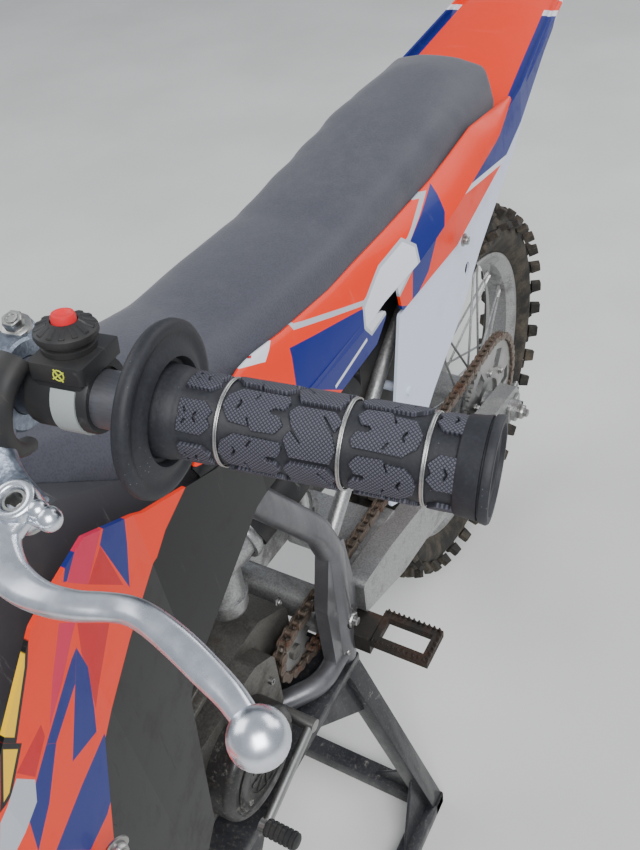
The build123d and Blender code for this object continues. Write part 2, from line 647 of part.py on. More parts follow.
# Bodywork
SHROUD_SPINE = [(425, 112), (700, 116), (860, 130), (960, 160), (1060, 196), (1160, 218)]
SHROUD_OUTLINE = [(1140, 925), (1150, 865), (1085, 715), (965, 585), (915, 600), (880, 735),
                  (720, 800), (460, 800), (425, 822), (470, 842), (640, 846), (760, 884),
                  (850, 924), (915, 972), (985, 978), (1060, 950)]
SKIRT_SPINE = [(-336, 70), (-200, 84), (0, 103), (250, 108), (415, 104)]
SKIRT_OUTLINE = [(-332, 958), (-200, 942), (0, 902), (120, 886), (330, 858), (408, 850), (402, 806),
                 (250, 806), (60, 838), (-140, 900), (-330, 944)]
PANEL_SPINE = [(-200, 88), (0, 105), (250, 116), (480, 112)]
PANEL_OUTLINE = [(-188, 905), (-110, 886), (60, 832), (250, 800), (402, 800), (474, 560), (452, 548),
                 (330, 640), (150, 745), (-60, 840), (-180, 888)]
RIGHT_PANEL_OUTLINE = [(452, 676), (474, 560), (452, 548), (330, 640), (205, 706), (212, 712)]


def panel_between(outline, spine, thickness, lean_deg, low_z, high_z, corner):
    sheet = curved_band(spine, thickness, low_z, high_z, lean_deg)
    outer = max(y for _, y in spine) + thickness + 20
    return sheet & side_plate(outline, 20, outer, corner)


SHROUD_LEAN = 3.5
SHROUD_LOW = 580.0
SHROUD_STUDS = [
    # x, z, y of the inner end
    (1012, 790, 152), (930, 850, 104), (450, 826, 60),
]


def sheet_y(spine, lean_deg, low_z, x, z):
    """The inner side's y of a bent sheet, above or below its foot."""
    for (x0, y0), (x1, y1) in zip(spine, spine[1:]):
        if x0 <= x <= x1:
            return y0 + (y1 - y0) * (x - x0) / (x1 - x0) - tan(radians(lean_deg)) * (z - low_z)
    raise ValueError("x lies beside the sheet")


def bodywork():
    shroud = panel_between(SHROUD_OUTLINE, SHROUD_SPINE, PANEL_THICKNESS, SHROUD_LEAN, SHROUD_LOW,
                           990, 6)
    for x, z, inner in SHROUD_STUDS:
        outer = sheet_y(SHROUD_SPINE, SHROUD_LEAN, SHROUD_LOW, x, z) + PANEL_THICKNESS / 2
        shroud += rod((x, inner, z), (x, outer, z), 6)
    shroud -= PARTS["radiators"]
    shroud -= PARTS["subframe"]
    keep("shroud_left", shroud)
    keep("shroud_right", mirrored(shroud))
    skirt = panel_between(SKIRT_OUTLINE, SKIRT_SPINE, PANEL_THICKNESS, 4, 790, 970, 5)
    sections = [(335, 98, 849, 0.5), (100, 101, 871, 6), (-60, 95, 905, 9), (-200, 82, 932, 12),
                (-334, 68, 948, 10)]
    guard = loft([arched_section(x, half, z, crown, 3) for x, half, z, crown in sections], ruled=True)
    rear = guard + skirt + mirrored(skirt)
    keep("rear_fender", rear - PARTS["subframe"])
    panel = panel_between(PANEL_OUTLINE, PANEL_SPINE, PANEL_THICKNESS, 3, 530, 920, 5)
    panel -= disc((205, 0, 745), 9, 60, 200)
    slot = Pos(425, 110, 610) * Rot(0, 70, 0) * Box(46, 80, 12)
    panel -= slot
    panel += rod((400, 70, 690), (400, 112, 690), 6)
    keep("side_panel_left", panel - rear)
    right = panel_between(RIGHT_PANEL_OUTLINE, PANEL_SPINE, PANEL_THICKNESS, 3, 530, 920, 2)
    right += rod((420, 52, 640), (420, 112, 640), 6)
    keep("side_panel_right", mirrored(right))


SEAT_STATIONS = [
    # x, half width low and high, z low, z of the shoulder, crown
    (30, 86, 66, 882, 948, 10),
    (220, 92, 72, 862, 938, 10),
    (450, 92, 72, 842, 918, 9),
    (650, 90, 66, 842, 930, 9),
    (820, 74, 54, 900, 972, 9),
    (895, 58, 42, 960, 1004, 8),
]


def seat_and_tank():
    sections = [crowned_section(x, low, high, z_low, z_high, crown)
                for x, low, high, z_low, z_high, crown in SEAT_STATIONS]
    seat = largest(loft(sections, ruled=True) - PARTS["rear_fender"] - PARTS["subframe"])
    keep("seat", seat)
    stations = [
        (690, 74, 60, 815, 850, 6), (800, 96, 66, 815, 900, 8), (890, 112, 78, 800, 962, 12),
        (955, 128, 86, 800, 985, 14), (1000, 118, 80, 810, 955, 8),
    ]
    tank = loft([crowned_section(*station) for station in stations], ruled=True)
    tank += Pos(948, 0, 1006) * Cylinder(30, 28)
    tank -= seat
    for side in (1, -1):
        rail = bent_tube([(x, side * y, z) for x, y, z in RAIL_PATH], RAIL_BENDS, RAIL_RADIUS + 2)
        tank -= rail
    tank -= rod(steer_point(0, 0, SPINE_START_ALONG), (850, 0, 880), 30)
    tank -= Pos(850, 0, 880) * Sphere(30)
    tank -= side_plate([(1082, 965), (1010, 800), (850, 790), (880, 905), (1040, 1020)], -11, 11)
    tank -= rod((705, -90, 792), (705, 90, 792), 16)
    tank -= PARTS["shroud_left"] + PARTS["shroud_right"]
    keep("fuel_tank", largest(tank))


# Foot controls and guards
def foot_gear():
    deck = side_plate([(532, 416), (532, 428), (584, 428), (584, 416)], 128, 208)
    deck -= Pos(558, 168, 422) * Box(30, 60, 40)
    mount = side_plate([(545, 402), (545, 432), (586, 432), (586, 402)], RAIL_Y + 2, 130)
    one = (deck + mount) - PARTS["frame_rails"]
    keep("footpegs", several(one, mirrored(one)))
    lever = rod((722, 76, 440), (722, 128, 440), 8)
    lever += rod((722, 122, 440), (842, 128, 418), 6)
    lever += rod((840, 122, 418), (840, 168, 418), 8)
    keep("gear_lever", lever)
    pedal = rod((604, -RAIL_Y - 8, 410), (604, -124, 410), 9)
    pedal += rod((604, -120, 410), (760, -140, 400), 7) + rod((757, -128, 400), (757, -172, 400), 9)
    pedal -= PARTS["frame_rails"]
    keep("brake_pedal", pedal - PARTS["frame_cradle"])
    kick = rod((690, -71, 540), (690, -132, 540), 12) + rod((690, -126, 540), (655, -132, 640), 9)
    kick += rod((655, -128, 638), (655, -186, 638), 8)
    kick -= PARTS["engine_covers"]
    kick -= PARTS["crankcase"]
    keep("kick_lever", kick)
    floor = side_plate([(734, 392), (880, 392), (880, 397), (734, 397)], -39, 39)
    keep("skid_plate", floor - PARTS["frame_cradle"])


# Fork, clamps and controls, on the steering body
def clamp_plate(low, high, wall):
    """A fork clamp: a boss round the steering stem and two arms with a ring round each tube."""
    arms = [(2, -FORK_HALF_SPACING), (2, FORK_HALF_SPACING), (FORK_LEAD + 16, FORK_HALF_SPACING),
            (FORK_LEAD + 16, -FORK_HALF_SPACING)]
    plate = extrude(Plane(origin=(0, 0, low)) * Polygon(*arms, align=None), amount=high - low,
                    dir=(0, 0, 1))
    plate += rod((0, 0, low), (0, 0, high), STEM_RADIUS + 10)
    for side in (1, -1):
        y = side * FORK_HALF_SPACING
        plate += rod((FORK_LEAD, y, low), (FORK_LEAD, y, high), OUTER_RADIUS + wall)
    for side in (1, -1):
        y = side * FORK_HALF_SPACING
        plate -= rod((FORK_LEAD, y, low - 9), (FORK_LEAD, y, high + 9), OUTER_RADIUS)
    return plate


def fork():
    legs_out, legs_in, guards = [], [], []
    for side in (1, -1):
        y = side * FORK_HALF_SPACING
        outer = rod((FORK_LEAD, y, OUTER_BOTTOM), (FORK_LEAD, y, FORK_TOP), OUTER_RADIUS)
        outer += rod((FORK_LEAD, y, OUTER_BOTTOM), (FORK_LEAD, y, OUTER_BOTTOM + 24), OUTER_RADIUS + 3)
        legs_out.append(steered(outer))
        inner = rod((FORK_LEAD, y, 50), (FORK_LEAD, y, OUTER_BOTTOM), INNER_RADIUS)
        lug = Pos(0, 0, 0) * rod((FORK_LEAD, y, -20), (FORK_LEAD, y, 74), 29)
        lug += Pos(AXLE_LEAD - 8, y, 2) * Box(46, 40, 52)
        lug -= rod((AXLE_LEAD, y - 60, 0), (AXLE_LEAD, y + 60, 0), AXLE_RADIUS)
        legs_in.append(steered(inner + lug))
        shell = Pos(FORK_LEAD, y, 210) * Cylinder(39, 230)
        shell -= Pos(FORK_LEAD, y, 210) * Cylinder(35, 240)
        shell -= Pos(FORK_LEAD - 46, y, 210) * Box(60, 100, 260)
        shell -= rod((AXLE_LEAD, y - 60, 0), (AXLE_LEAD, y + 60, 0), 60)
        shell += Pos(FORK_LEAD + 33.5, y, 84) * Box(11, 24, 56)
        guards.append(steered(shell - lug))
    keep("fork_outers", several(*legs_out))
    keep("fork_inners", several(*legs_in))
    keep("fork_guards", several(*guards))
    axle = rod((AXLE_LEAD, -118, 0), (AXLE_LEAD, 118, 0), AXLE_RADIUS)
    keep("front_axle", steered(axle))
    lower, upper = clamp_plate(*LOWER_CLAMP, 12), clamp_plate(*UPPER_CLAMP, 10)
    for side in (1, -1):
        upper += Pos(FORK_LEAD / 2, side * 42, (UPPER_CLAMP[1] + BAR_HEIGHT) / 2) * Box(
            44, 26, BAR_HEIGHT - UPPER_CLAMP[1] + 24)
    stem = rod((0, 0, LOWER_CLAMP[0]), (0, 0, UPPER_CLAMP[1] + 6), STEM_RADIUS)
    upper -= stem
    keep("steering_stem", steered(lower + stem))
    keep("upper_clamp", largest(steered(upper) - bar_shape()))


BAR_MIDDLE = STEER_FOOT + UP * BAR_HEIGHT + AHEAD * BAR_LEAD
BAR_RISE = 44.0
BAR_KNEE = Vector(BAR_MIDDLE.X - 34, 206, BAR_MIDDLE.Z + BAR_RISE)
BAR_END = Vector(BAR_MIDDLE.X - 68, BAR_WIDTH / 2, BAR_MIDDLE.Z + BAR_RISE - 6)
GRIP_OUT = (BAR_END - BAR_KNEE).normalized()
LEVER_DIP_DEG = 15.1


def bar_shape():
    middle = BAR_MIDDLE
    left = bent_tube([(middle.X, 96, middle.Z), (middle.X, 118, middle.Z), BAR_KNEE, BAR_END],
                     [34, 60], BAR_RADIUS)
    core = rod((middle.X, -84, middle.Z), (middle.X, 84, middle.Z), BAR_CENTRE_RADIUS)
    core += cone((middle.X, 84, middle.Z), (middle.X, 97, middle.Z), BAR_CENTRE_RADIUS, BAR_RADIUS)
    core += cone((middle.X, -84, middle.Z), (middle.X, -97, middle.Z), BAR_CENTRE_RADIUS, BAR_RADIUS)
    return core + left + mirrored(left)


def grip_plane(from_end):
    """A plane across the left grip, Z outwards along it, X ahead in the levers' plane."""
    dip = radians(LEVER_DIP_DEG)
    ahead = Vector(cos(dip), 0, -sin(dip))
    ahead = ahead - GRIP_OUT * ahead.dot(GRIP_OUT)
    return Plane(origin=BAR_END - GRIP_OUT * from_end, x_dir=ahead, z_dir=GRIP_OUT)


LEVER_LINE = [
    # along the grip from its flange, ahead of the bar, half width
    (-40, 45, 8.0), (-41, 60, 8.0), (-32, 72.5, 7.4), (-18, 77, 6.2), (-4, 75, 5.0), (8, 72, 4.6),
    (22, 75.5, 5.2), (40, 84, 5.6), (58, 92.5, 4.8), (70, 98.5, 4.4),
]
LEVER_BALL = (72.0, 100.0, 9.5)


def lever(extra_reach=0.0):
    """A hand lever in the left lever plane: a curved blade with a ball at its tip."""
    plane = grip_plane(GRIP_LENGTH)
    flat = Plane(origin=plane.origin, x_dir=plane.z_dir, z_dir=plane.x_dir.cross(plane.z_dir))
    sign = 1 if flat.y_dir.dot(plane.x_dir) > 0 else -1
    line = [(along, sign * out, half) for along, out, half in LEVER_LINE]
    left, right = [], []
    for index, (x, y, half) in enumerate(line):
        before, after = line[max(index - 1, 0)], line[min(index + 1, len(line) - 1)]
        dx, dy = after[0] - before[0], after[1] - before[1]
        size = hypot(dx, dy)
        left.append((x - dy / size * half, y + dx / size * half))
        right.append((x + dy / size * half, y - dx / size * half))
    face = flat * Polygon(*left, *reversed(right), align=None)
    blade = extrude(face, amount=4.5, both=True)
    eye = flat.location * (Pos(line[0][0], line[0][1], 0) * Cylinder(7.5, 11))
    ball = flat.location * (Pos(LEVER_BALL[0], sign * LEVER_BALL[1], 0) * Sphere(LEVER_BALL[2]))
    return blade + eye + ball, flat, sign


def hand_controls():
    bar = bar_shape()
    keep("handlebar", bar)
    inner = grip_plane(GRIP_LENGTH)
    grip = rod(inner.origin, BAR_END, GRIP_RADIUS)
    grip += rod(inner.origin - GRIP_OUT * FLANGE_THICKNESS, inner.origin, FLANGE_RADIUS)
    grip += rod(inner.origin, inner.origin + GRIP_OUT * GRIP_COLLAR, GRIP_RADIUS + 2.5)
    grip += rod(BAR_END - GRIP_OUT * 8, BAR_END + GRIP_OUT * 3, GRIP_RADIUS + 2.5)
    grip -= rod(BAR_END - GRIP_OUT * 200, BAR_END, BAR_RADIUS)
    keep("grip_left", grip)
    keep("grip_right", mirrored(grip))
    blade, flat, sign = lever()
    keep("clutch_lever", blade)
    keep("brake_lever", mirrored(blade))
    switch_plane = grip_plane(GRIP_LENGTH + 30)
    up_plane = Plane(origin=switch_plane.origin, x_dir=GRIP_OUT, z_dir=(0, 0, 1))
    body = rod(switch_plane.origin - GRIP_OUT * 11, switch_plane.origin + GRIP_OUT * 11, 16)
    body += up_plane.location * (Pos(0, 0, 11) * Box(24, 30, 14))
    knob = up_plane.location * (Pos(0, 0, 22) * Cylinder(14.5, 9))
    knob += up_plane.location * (Pos(0, 0, 28.5) * Cylinder(6, 5))
    keep("kill_switch", (body + knob) - bar)
    perch_at = grip_plane(GRIP_LENGTH + 58)
    clamp = rod(perch_at.origin - GRIP_OUT * 10, perch_at.origin + GRIP_OUT * 10, 18)
    arm = flat.location * (Pos(-58, sign * 24, 0) * Box(20, 34, 14))
    cylinder = flat.location * (Pos(-74, sign * 38, 0) * Rot(0, 90, 0) * Cylinder(11, 62))
    ear = flat.location * (Pos(-42, sign * 38, 0) * Box(16, 14, 16))
    perch = (clamp + arm + cylinder + ear) - bar
    keep("clutch_perch", perch - blade)
    keep("brake_perch", mirrored(perch - blade))
    throttle = rod(switch_plane.origin - GRIP_OUT * 11, switch_plane.origin + GRIP_OUT * 20, 22) - bar
    keep("throttle_housing", mirrored(throttle) - PARTS["grip_right"])
    pad = Pos(BAR_MIDDLE.X + 4, 0, BAR_MIDDLE.Z + 41) * Box(56, 130, 40)
    pad += Pos(BAR_MIDDLE.X, 0, BAR_MIDDLE.Z + 14) * Box(30, 50, 30)
    keep("bar_pad", pad - bar - PARTS["upper_clamp"])


def front_bodywork():
    stations = [
        # ahead of the front axle, half width, z of the edge, crown
        (-347, 58, 868, 14), (-275, 68, 878, 22), (-175, 68, 884, 32), (-25, 70, 878, 34),
        (145, 66, 850, 28), (270, 42, 806, 14),
    ]
    fender = loft([arched_section(WHEELBASE + ahead, half, z, crown, PANEL_THICKNESS)
                   for ahead, half, z, crown in stations], ruled=True)
    for ahead in (0, 30):
        for side in (1, -1):
            fender += steered(rod((ahead, side * 32, 612), (ahead, side * 32, LOWER_CLAMP[0]), 8))
    keep("front_fender", fender)
    low, high = LOWER_CLAMP[0] + 30, UPPER_CLAMP[1] + 6
    ahead = FORK_LEAD + 44
    plate = Pos(ahead + 2, 0, (low + high) / 2) * Box(4, 184, high - low)
    for height in (sum(LOWER_CLAMP) / 2 + 12, sum(UPPER_CLAMP) / 2):
        for side in (1, -1):
            plate += rod((FORK_LEAD + 16, side * 34, height), (ahead + 1, side * 34, height), 5)
    keep("front_plate", steered(plate))


# The stand
def stand():
    floor = -STAND_LIFT
    top = FRAME_BOTTOM_Z + 2
    half_top, half_foot = (150.0, 95.0), (200.0, 190.0)
    middle_x = 745.0
    legs = None
    for sx in (1, -1):
        for sy in (1, -1):
            leg = rod((middle_x + sx * half_top[0], sy * half_top[1], top - 18),
                      (middle_x + sx * half_foot[0], sy * half_foot[1], floor + 14), 13)
            legs = leg if legs is None else legs + leg
    for sx in (1, -1):
        x = middle_x + sx * half_foot[0]
        legs += Pos(x, 0, floor + 15) * Box(30, 2 * half_foot[1] + 30, 30)
    for sy in (1, -1):
        legs += Pos(middle_x, sy * half_foot[1], floor + 15) * Box(2 * half_foot[0] + 30, 30, 30)
    deck = Pos(middle_x, 0, top - 9) * Box(2 * half_top[0] + 30, 2 * half_top[1] + 30, 18)
    keep("stand", (legs + deck) - PARTS["frame_cradle"])



def build():
    wheels()
    chain_drive()
    frame()
    swingarm()
    fork()
    shock()
    engine()
    intake()
    calipers()
    exhaust()
    radiators()
    bodywork()
    seat_and_tank()
    foot_gear()
    hand_controls()
    front_bodywork()
    stand()


def place_and_write():
    """Moves every piece from bike coordinates to the floor under the bike's middle."""
    middle_x = (WHEELBASE + FRONT_RADIUS - REAR_RADIUS) / 2
    os.makedirs("parts", exist_ok=True)
    for name, shape in PARTS.items():
        placed = Pos(-middle_x, 0, STAND_LIFT) * shape
        export_step(placed, f"parts/{name}.step")


build()
place_and_write()
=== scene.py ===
"""Looks of a motocross bike on a paddock stand, seen past its left grip.

Lengths in the classes are millimetres of the bike: x forwards, y to the left, z up, with zero below the
rear axle at ground level. ``at`` turns them into the frame's metres.
"""
from __future__ import annotations

import logging
from dataclasses import dataclass, field
from enum import Enum
from math import asin, atan2, cos, pi, radians, sin, tau
from typing import Sequence

import bmesh
import bpy
from mathutils import Matrix, Vector


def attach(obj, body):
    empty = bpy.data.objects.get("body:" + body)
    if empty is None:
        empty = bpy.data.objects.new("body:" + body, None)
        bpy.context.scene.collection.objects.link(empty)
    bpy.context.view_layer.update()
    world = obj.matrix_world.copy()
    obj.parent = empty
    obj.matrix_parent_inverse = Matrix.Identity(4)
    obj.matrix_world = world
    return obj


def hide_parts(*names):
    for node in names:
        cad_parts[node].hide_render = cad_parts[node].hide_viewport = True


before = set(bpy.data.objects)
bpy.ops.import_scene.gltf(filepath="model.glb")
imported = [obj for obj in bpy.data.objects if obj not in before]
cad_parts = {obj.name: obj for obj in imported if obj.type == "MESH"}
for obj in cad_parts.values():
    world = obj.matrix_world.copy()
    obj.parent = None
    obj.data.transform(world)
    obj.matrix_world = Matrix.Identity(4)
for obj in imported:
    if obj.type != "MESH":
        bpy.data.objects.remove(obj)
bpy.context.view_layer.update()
LOG = logging.getLogger("motocross_bike")
Colour = tuple[float, float, float]
Point = tuple[float, float, float]
Outline = tuple[tuple[float, float], ...]
Socket = bpy.types.NodeSocket
MM = 0.001
MERGE = 0.0001  # millimetres within which a finished piece's points are merged
QUARTER = pi / 2
BIKE_ORIGIN = Vector((-742, 0, 35))
AHEAD, LEFT, UP = Vector((1, 0, 0)), Vector((0, 1, 0)), Vector((0, 0, 1))
MIRROR = Matrix.Scale(-1, 4, LEFT)


class Body(Enum):
    """The moving bodies of the frame."""

    FRAME = "frame_body"
    STEERING = "steering"
    FRONT_WHEEL = "front_wheel"
    REAR_WHEEL = "rear_wheel"


class Side(Enum):
    """Which hand of the bike a piece is on."""

    LEFT = 1.0
    RIGHT = -1.0


def at(x: float, y: float, z: float) -> Vector:
    """Returns the frame's metres of a point in bike millimetres."""
    return (Vector((x, y, z)) + BIKE_ORIGIN) * MM


def colour(red: int, green: int, blue: int) -> Colour:
    """Returns the linear colour of an sRGB one.

    Args:
        red: Red, 0 to 255.
        green: Green, 0 to 255.
        blue: Blue, 0 to 255.

    Returns:
        The three linear values.
    """
    def linear(level: int) -> float:
        """Returns one linear value."""
        share = level / 255
        return share / 12.92 if share <= 0.04045 else ((share + 0.055) / 1.055) ** 2.4

    return linear(red), linear(green), linear(blue)


def put(name: str, data: bpy.types.ID) -> bpy.types.Object:
    """Links a new object into the scene.

    Args:
        name: Its name.
        data: Its mesh, light or camera.

    Returns:
        The object.
    """
    thing = bpy.data.objects.new(name, data)
    bpy.context.scene.collection.objects.link(thing)
    return thing


def shift(x: float, y: float, z: float) -> Matrix:
    """Returns the matrix of a shift."""
    return Matrix.Translation((x, y, z))


def turned(axis: str, angle: float) -> Matrix:
    """Returns the matrix of a turn, in radians, about X, Y or Z."""
    return Matrix.Rotation(angle, 4, axis)


def spoke(turn: float) -> Vector:
    """Returns the flat unit vector at a turn in radians."""
    return Vector((cos(turn), sin(turn)))


def frame_of(origin: Vector, along: Vector, up: Vector) -> Matrix:
    """Builds the matrix of a workplace in millimetres.

    Args:
        origin: The place of its zero, in bike millimetres.
        along: Where its Z axis points.
        up: About where its X axis points.

    Returns:
        The matrix from the workplace to bike millimetres.
    """
    z = along.normalized()
    x = (up - z * up.dot(z)).normalized()
    y = z.cross(x)
    turn = Matrix((x, y, z)).transposed().to_4x4()
    return Matrix.Translation(origin) @ turn


class Value:
    """A shader socket, or a number, that takes part in sums."""

    def __init__(self, shader: Shader, source: Socket | float) -> None:
        """Keeps the socket and the shader that it is in."""
        self.shader = shader
        self.source = source

    def math(self, operation: str, *others: Value | float, clamp: bool = False) -> Value:
        """Returns the result of a Math node of an operation with its other inputs."""
        node = self.shader.node("ShaderNodeMath", {"operation": operation, "use_clamp": clamp},
                                {index: value for index, value in enumerate((self, *others))})
        return Value(self.shader, node.outputs[0])

    def __add__(self, other: Value | float) -> Value:
        """Returns the sum."""
        return self.math("ADD", other)

    def __sub__(self, other: Value | float) -> Value:
        """Returns the difference."""
        return self.math("SUBTRACT", other)

    def __rsub__(self, other: float) -> Value:
        """Returns the number less this."""
        return Value(self.shader, other).math("SUBTRACT", self)

    def __mul__(self, other: Value | float) -> Value:
        """Returns the product."""
        return self.math("MULTIPLY", other)

    __rmul__ = __mul__

    def least(self, other: Value | float) -> Value:
        """Returns the smaller of the two."""
        return self.math("MINIMUM", other)

    def size(self) -> Value:
        """Returns this without its sign."""
        return self.math("ABSOLUTE")

    def wave(self) -> Value:
        """Returns the sine."""
        return self.math("SINE")

    def ramp(self, start: float, end: float, low: float = 0.0, high: float = 1.0) -> Value:
        """Maps the range from start to end smoothly onto the range from low to high."""
        node = self.shader.node("ShaderNodeMapRange", {"interpolation_type": "SMOOTHSTEP"},
                                {0: self, 1: start, 2: end, 3: low, 4: high})
        return Value(self.shader, node.outputs[0])


class Shader:
    """Builds one material's nodes."""

    def __init__(self, name: str) -> None:
        """Starts an empty material with its output."""
        self.material = bpy.data.materials.new(name)
        self.material.use_nodes = True
        self.tree = self.material.node_tree
        self.tree.nodes.clear()
        self.output = self.tree.nodes.new("ShaderNodeOutputMaterial")

    def node(self, kind: str, settings: dict[str, object] | None = None,
             sockets: dict[str | int, object] | None = None) -> bpy.types.Node:
        """Adds any node.

        Args:
            kind: The node's type.
            settings: Its settings.
            sockets: Values or links of its inputs, by name or place.

        Returns:
            The node.
        """
        node = self.tree.nodes.new(kind)
        for name, value in (settings or {}).items():
            setattr(node, name, value)
        for key, value in (sockets or {}).items():
            socket = node.inputs[key]
            source = value.source if isinstance(value, Value) else value
            if isinstance(source, Socket):
                self.tree.links.new(source, socket)
            elif isinstance(source, tuple) and len(source) == 3 and socket.type == "RGBA":
                socket.default_value = (*source, 1.0)
            else:
                socket.default_value = source
        return node

    def place(self, scale: Point = (1, 1, 1), turn: Point = (0, 0, 0)) -> Socket:
        """Returns the object's own coordinates, turned and stretched."""
        coordinates = self.node("ShaderNodeTexCoord").outputs["Object"]
        if scale == (1, 1, 1) and turn == (0, 0, 0):
            return coordinates
        return self.node("ShaderNodeMapping", {}, {"Vector": coordinates, "Rotation": turn,
                                                   "Scale": scale}).outputs[0]

    def noise(self, scale: float, detail: float = 3.0, rough: float = 0.55,
              vector: Socket | None = None, twist: float = 0.0) -> Value:
        """Adds a noise texture, scaled per metre, and returns its value, about 0.3 to 0.7."""
        node = self.node("ShaderNodeTexNoise", {},
                         {"Vector": vector or self.place(), "Scale": scale, "Detail": detail,
                          "Roughness": rough, "Distortion": twist})
        return Value(self, node.outputs[0])

    def cells(self, scale: float, feature: str = "F1", vector: Socket | None = None) -> Value:
        """Adds a cell texture and returns its distance."""
        node = self.node("ShaderNodeTexVoronoi", {"feature": feature},
                         {"Vector": vector or self.place(), "Scale": scale})
        return Value(self, node.outputs["Distance"])

    def distance(self, direction: Vector, offset: float, vector: Socket | None = None) -> Value:
        """Returns how far a point lies along a direction, past an offset."""
        node = self.node("ShaderNodeVectorMath", {"operation": "DOT_PRODUCT"},
                         {0: vector or self.place(), 1: tuple(direction)})
        return Value(self, node.outputs["Value"]) - offset

    def mix(self, share: Value | float, first: object, second: object) -> Socket:
        """Mixes two colours.

        Args:
            share: How much of the second shows.
            first: A colour or a colour socket.
            second: A colour or a colour socket.

        Returns:
            The mixed colour's socket.
        """
        node = self.node("ShaderNodeMix", {"data_type": "RGBA"}, {"Factor": share})
        for index, value in ((6, first), (7, second)):
            if isinstance(value, Socket):
                self.tree.links.new(value, node.inputs[index])
            else:
                node.inputs[index].default_value = (*value, 1.0)
        return node.outputs[2]

    def bump(self, height: Value, depth: float, strength: float = 1.0) -> Socket:
        """Returns a normal raised by a height between 0 and 1 over a depth in metres."""
        return self.node("ShaderNodeBump", {}, {"Height": height, "Distance": depth,
                                                "Strength": strength}).outputs[0]

    def surface(self, **sockets: object) -> bpy.types.Material:
        """Ends the material with a Principled shader.

        Args:
            sockets: The shader's sockets, with underscores for spaces.

        Returns:
            The material.
        """
        principled = self.node("ShaderNodeBsdfPrincipled", {},
                               {name.replace("_", " "): value for name, value in sockets.items()})
        self.tree.links.new(principled.outputs[0], self.output.inputs[0])
        return self.material


@dataclass(frozen=True)
class Finish:
    """What every finish of the bike has."""

    name: str
    slot: str
    base: Colour
    rough: float = 0.5

    def material(self) -> bpy.types.Material:
        """Returns the finish's material, made once."""
        known = bpy.data.materials.get(self.name)
        return known if known else self.make(Shader(self.name))

    def make(self, shader: Shader) -> bpy.types.Material:
        """Builds the finish's nodes in a shader."""
        raise NotImplementedError

    def tinted(self, factor: float) -> Colour:
        """Returns the base colour, lighter or darker."""
        return tuple(min(1.0, level * factor) for level in self.base)


@dataclass(frozen=True)
class Paint(Finish):
    """Sprayed paint on metal, with chips, dust and a light orange peel."""

    metal: Colour = colour(120, 118, 114)
    wear: float = 0.4
    metallic: float = 0.0
    coat: float = 0.2

    def make(self, shader: Shader) -> bpy.types.Material:
        """Builds the finish's nodes in a shader."""
        broad = shader.noise(9.0, 4.0)
        fine = shader.noise(260.0, 4.0, 0.7)
        scuffs = shader.noise(60.0, 3.0, 0.6, shader.place((1, 0.35, 0.12), (0.5, 0.3, 0.9)))
        chips = (shader.noise(75.0, 5.0, 0.72) * 0.62 + broad * 0.38).ramp(0.61 - 0.03 * self.wear, 0.66)
        shaded = shader.mix(broad.ramp(0.3, 0.7), self.tinted(0.82), self.tinted(1.14))
        dusty = shader.mix(fine.ramp(0.5, 0.8, 0.0, 0.25), shaded, colour(150, 142, 128))
        return shader.surface(
            Base_Color=shader.mix(chips, dusty, self.metal),
            Metallic=chips * 0.6 + self.metallic * (1 - chips),
            Roughness=scuffs.ramp(0.35, 0.7, self.rough - 0.08, self.rough + 0.16),
            Coat_Weight=self.coat,
            Normal=shader.bump(fine * 0.35 + broad * 0.2 - chips * 0.5, 0.0003, 0.5))


@dataclass(frozen=True)
class CastMetal(Finish):
    """Sand-cast or bead-blasted alloy with patches of dirt."""

    grime: Colour = colour(52, 45, 38)
    dirt: float = 0.5
    grain: float = 420.0

    def make(self, shader: Shader) -> bpy.types.Material:
        """Builds the finish's nodes in a shader."""
        patch = shader.noise(14.0, 5.0, 0.65)
        stain = (patch * 0.7 + shader.noise(70.0, 4.0, 0.7) * 0.3).ramp(0.46, 0.64)
        grain = shader.noise(self.grain, 3.0, 0.6)
        pits = shader.cells(self.grain * 1.6)
        light = shader.mix(grain.ramp(0.35, 0.65), self.tinted(0.8), self.tinted(1.16))
        return shader.surface(
            Base_Color=shader.mix(stain * self.dirt, light, self.grime),
            Metallic=0.85 - stain * 0.75 * self.dirt,
            Roughness=stain.ramp(0.0, 1.0, self.rough, min(0.95, self.rough + 0.3)),
            Normal=shader.bump(grain * 0.6 + pits * 0.4, 0.00035, 0.7))


@dataclass(frozen=True)
class BareMetal(Finish):
    """Machined, drawn or polished metal with fine scratches along one way."""

    stretch: Point = (1, 0.08, 1)
    turn: Point = (0, 0, 0)
    scratch: float = 0.5
    tarnish: Colour = colour(110, 100, 88)
    dull: float = 0.25

    def make(self, shader: Shader) -> bpy.types.Material:
        """Builds the finish's nodes in a shader."""
        lines = shader.noise(1500.0, 3.0, 0.6, shader.place(self.stretch, self.turn))
        marks = shader.noise(300.0, 5.0, 0.75, shader.place((0.4, 1, 0.2), (0.9, 0.2, 0.6)))
        patch = shader.noise(22.0, 4.0, 0.6)
        nicks = marks.ramp(0.6, 0.68) * self.scratch
        tone = shader.mix(lines.ramp(0.3, 0.7), self.tinted(0.9), self.tinted(1.06))
        aged = shader.mix(patch.ramp(0.45, 0.75, 0.0, self.dull), tone, self.tarnish)
        return shader.surface(
            Base_Color=shader.mix(nicks * 0.5, aged, self.tinted(0.6)),
            Metallic=1.0,
            Roughness=(patch * 0.25 + lines * 0.12 + nicks * 0.2 + (self.rough - 0.16)).math("MAXIMUM", 0.06),
            Normal=shader.bump(lines * 0.35 - nicks * 0.6 + marks * 0.2, 0.00006, 0.5))


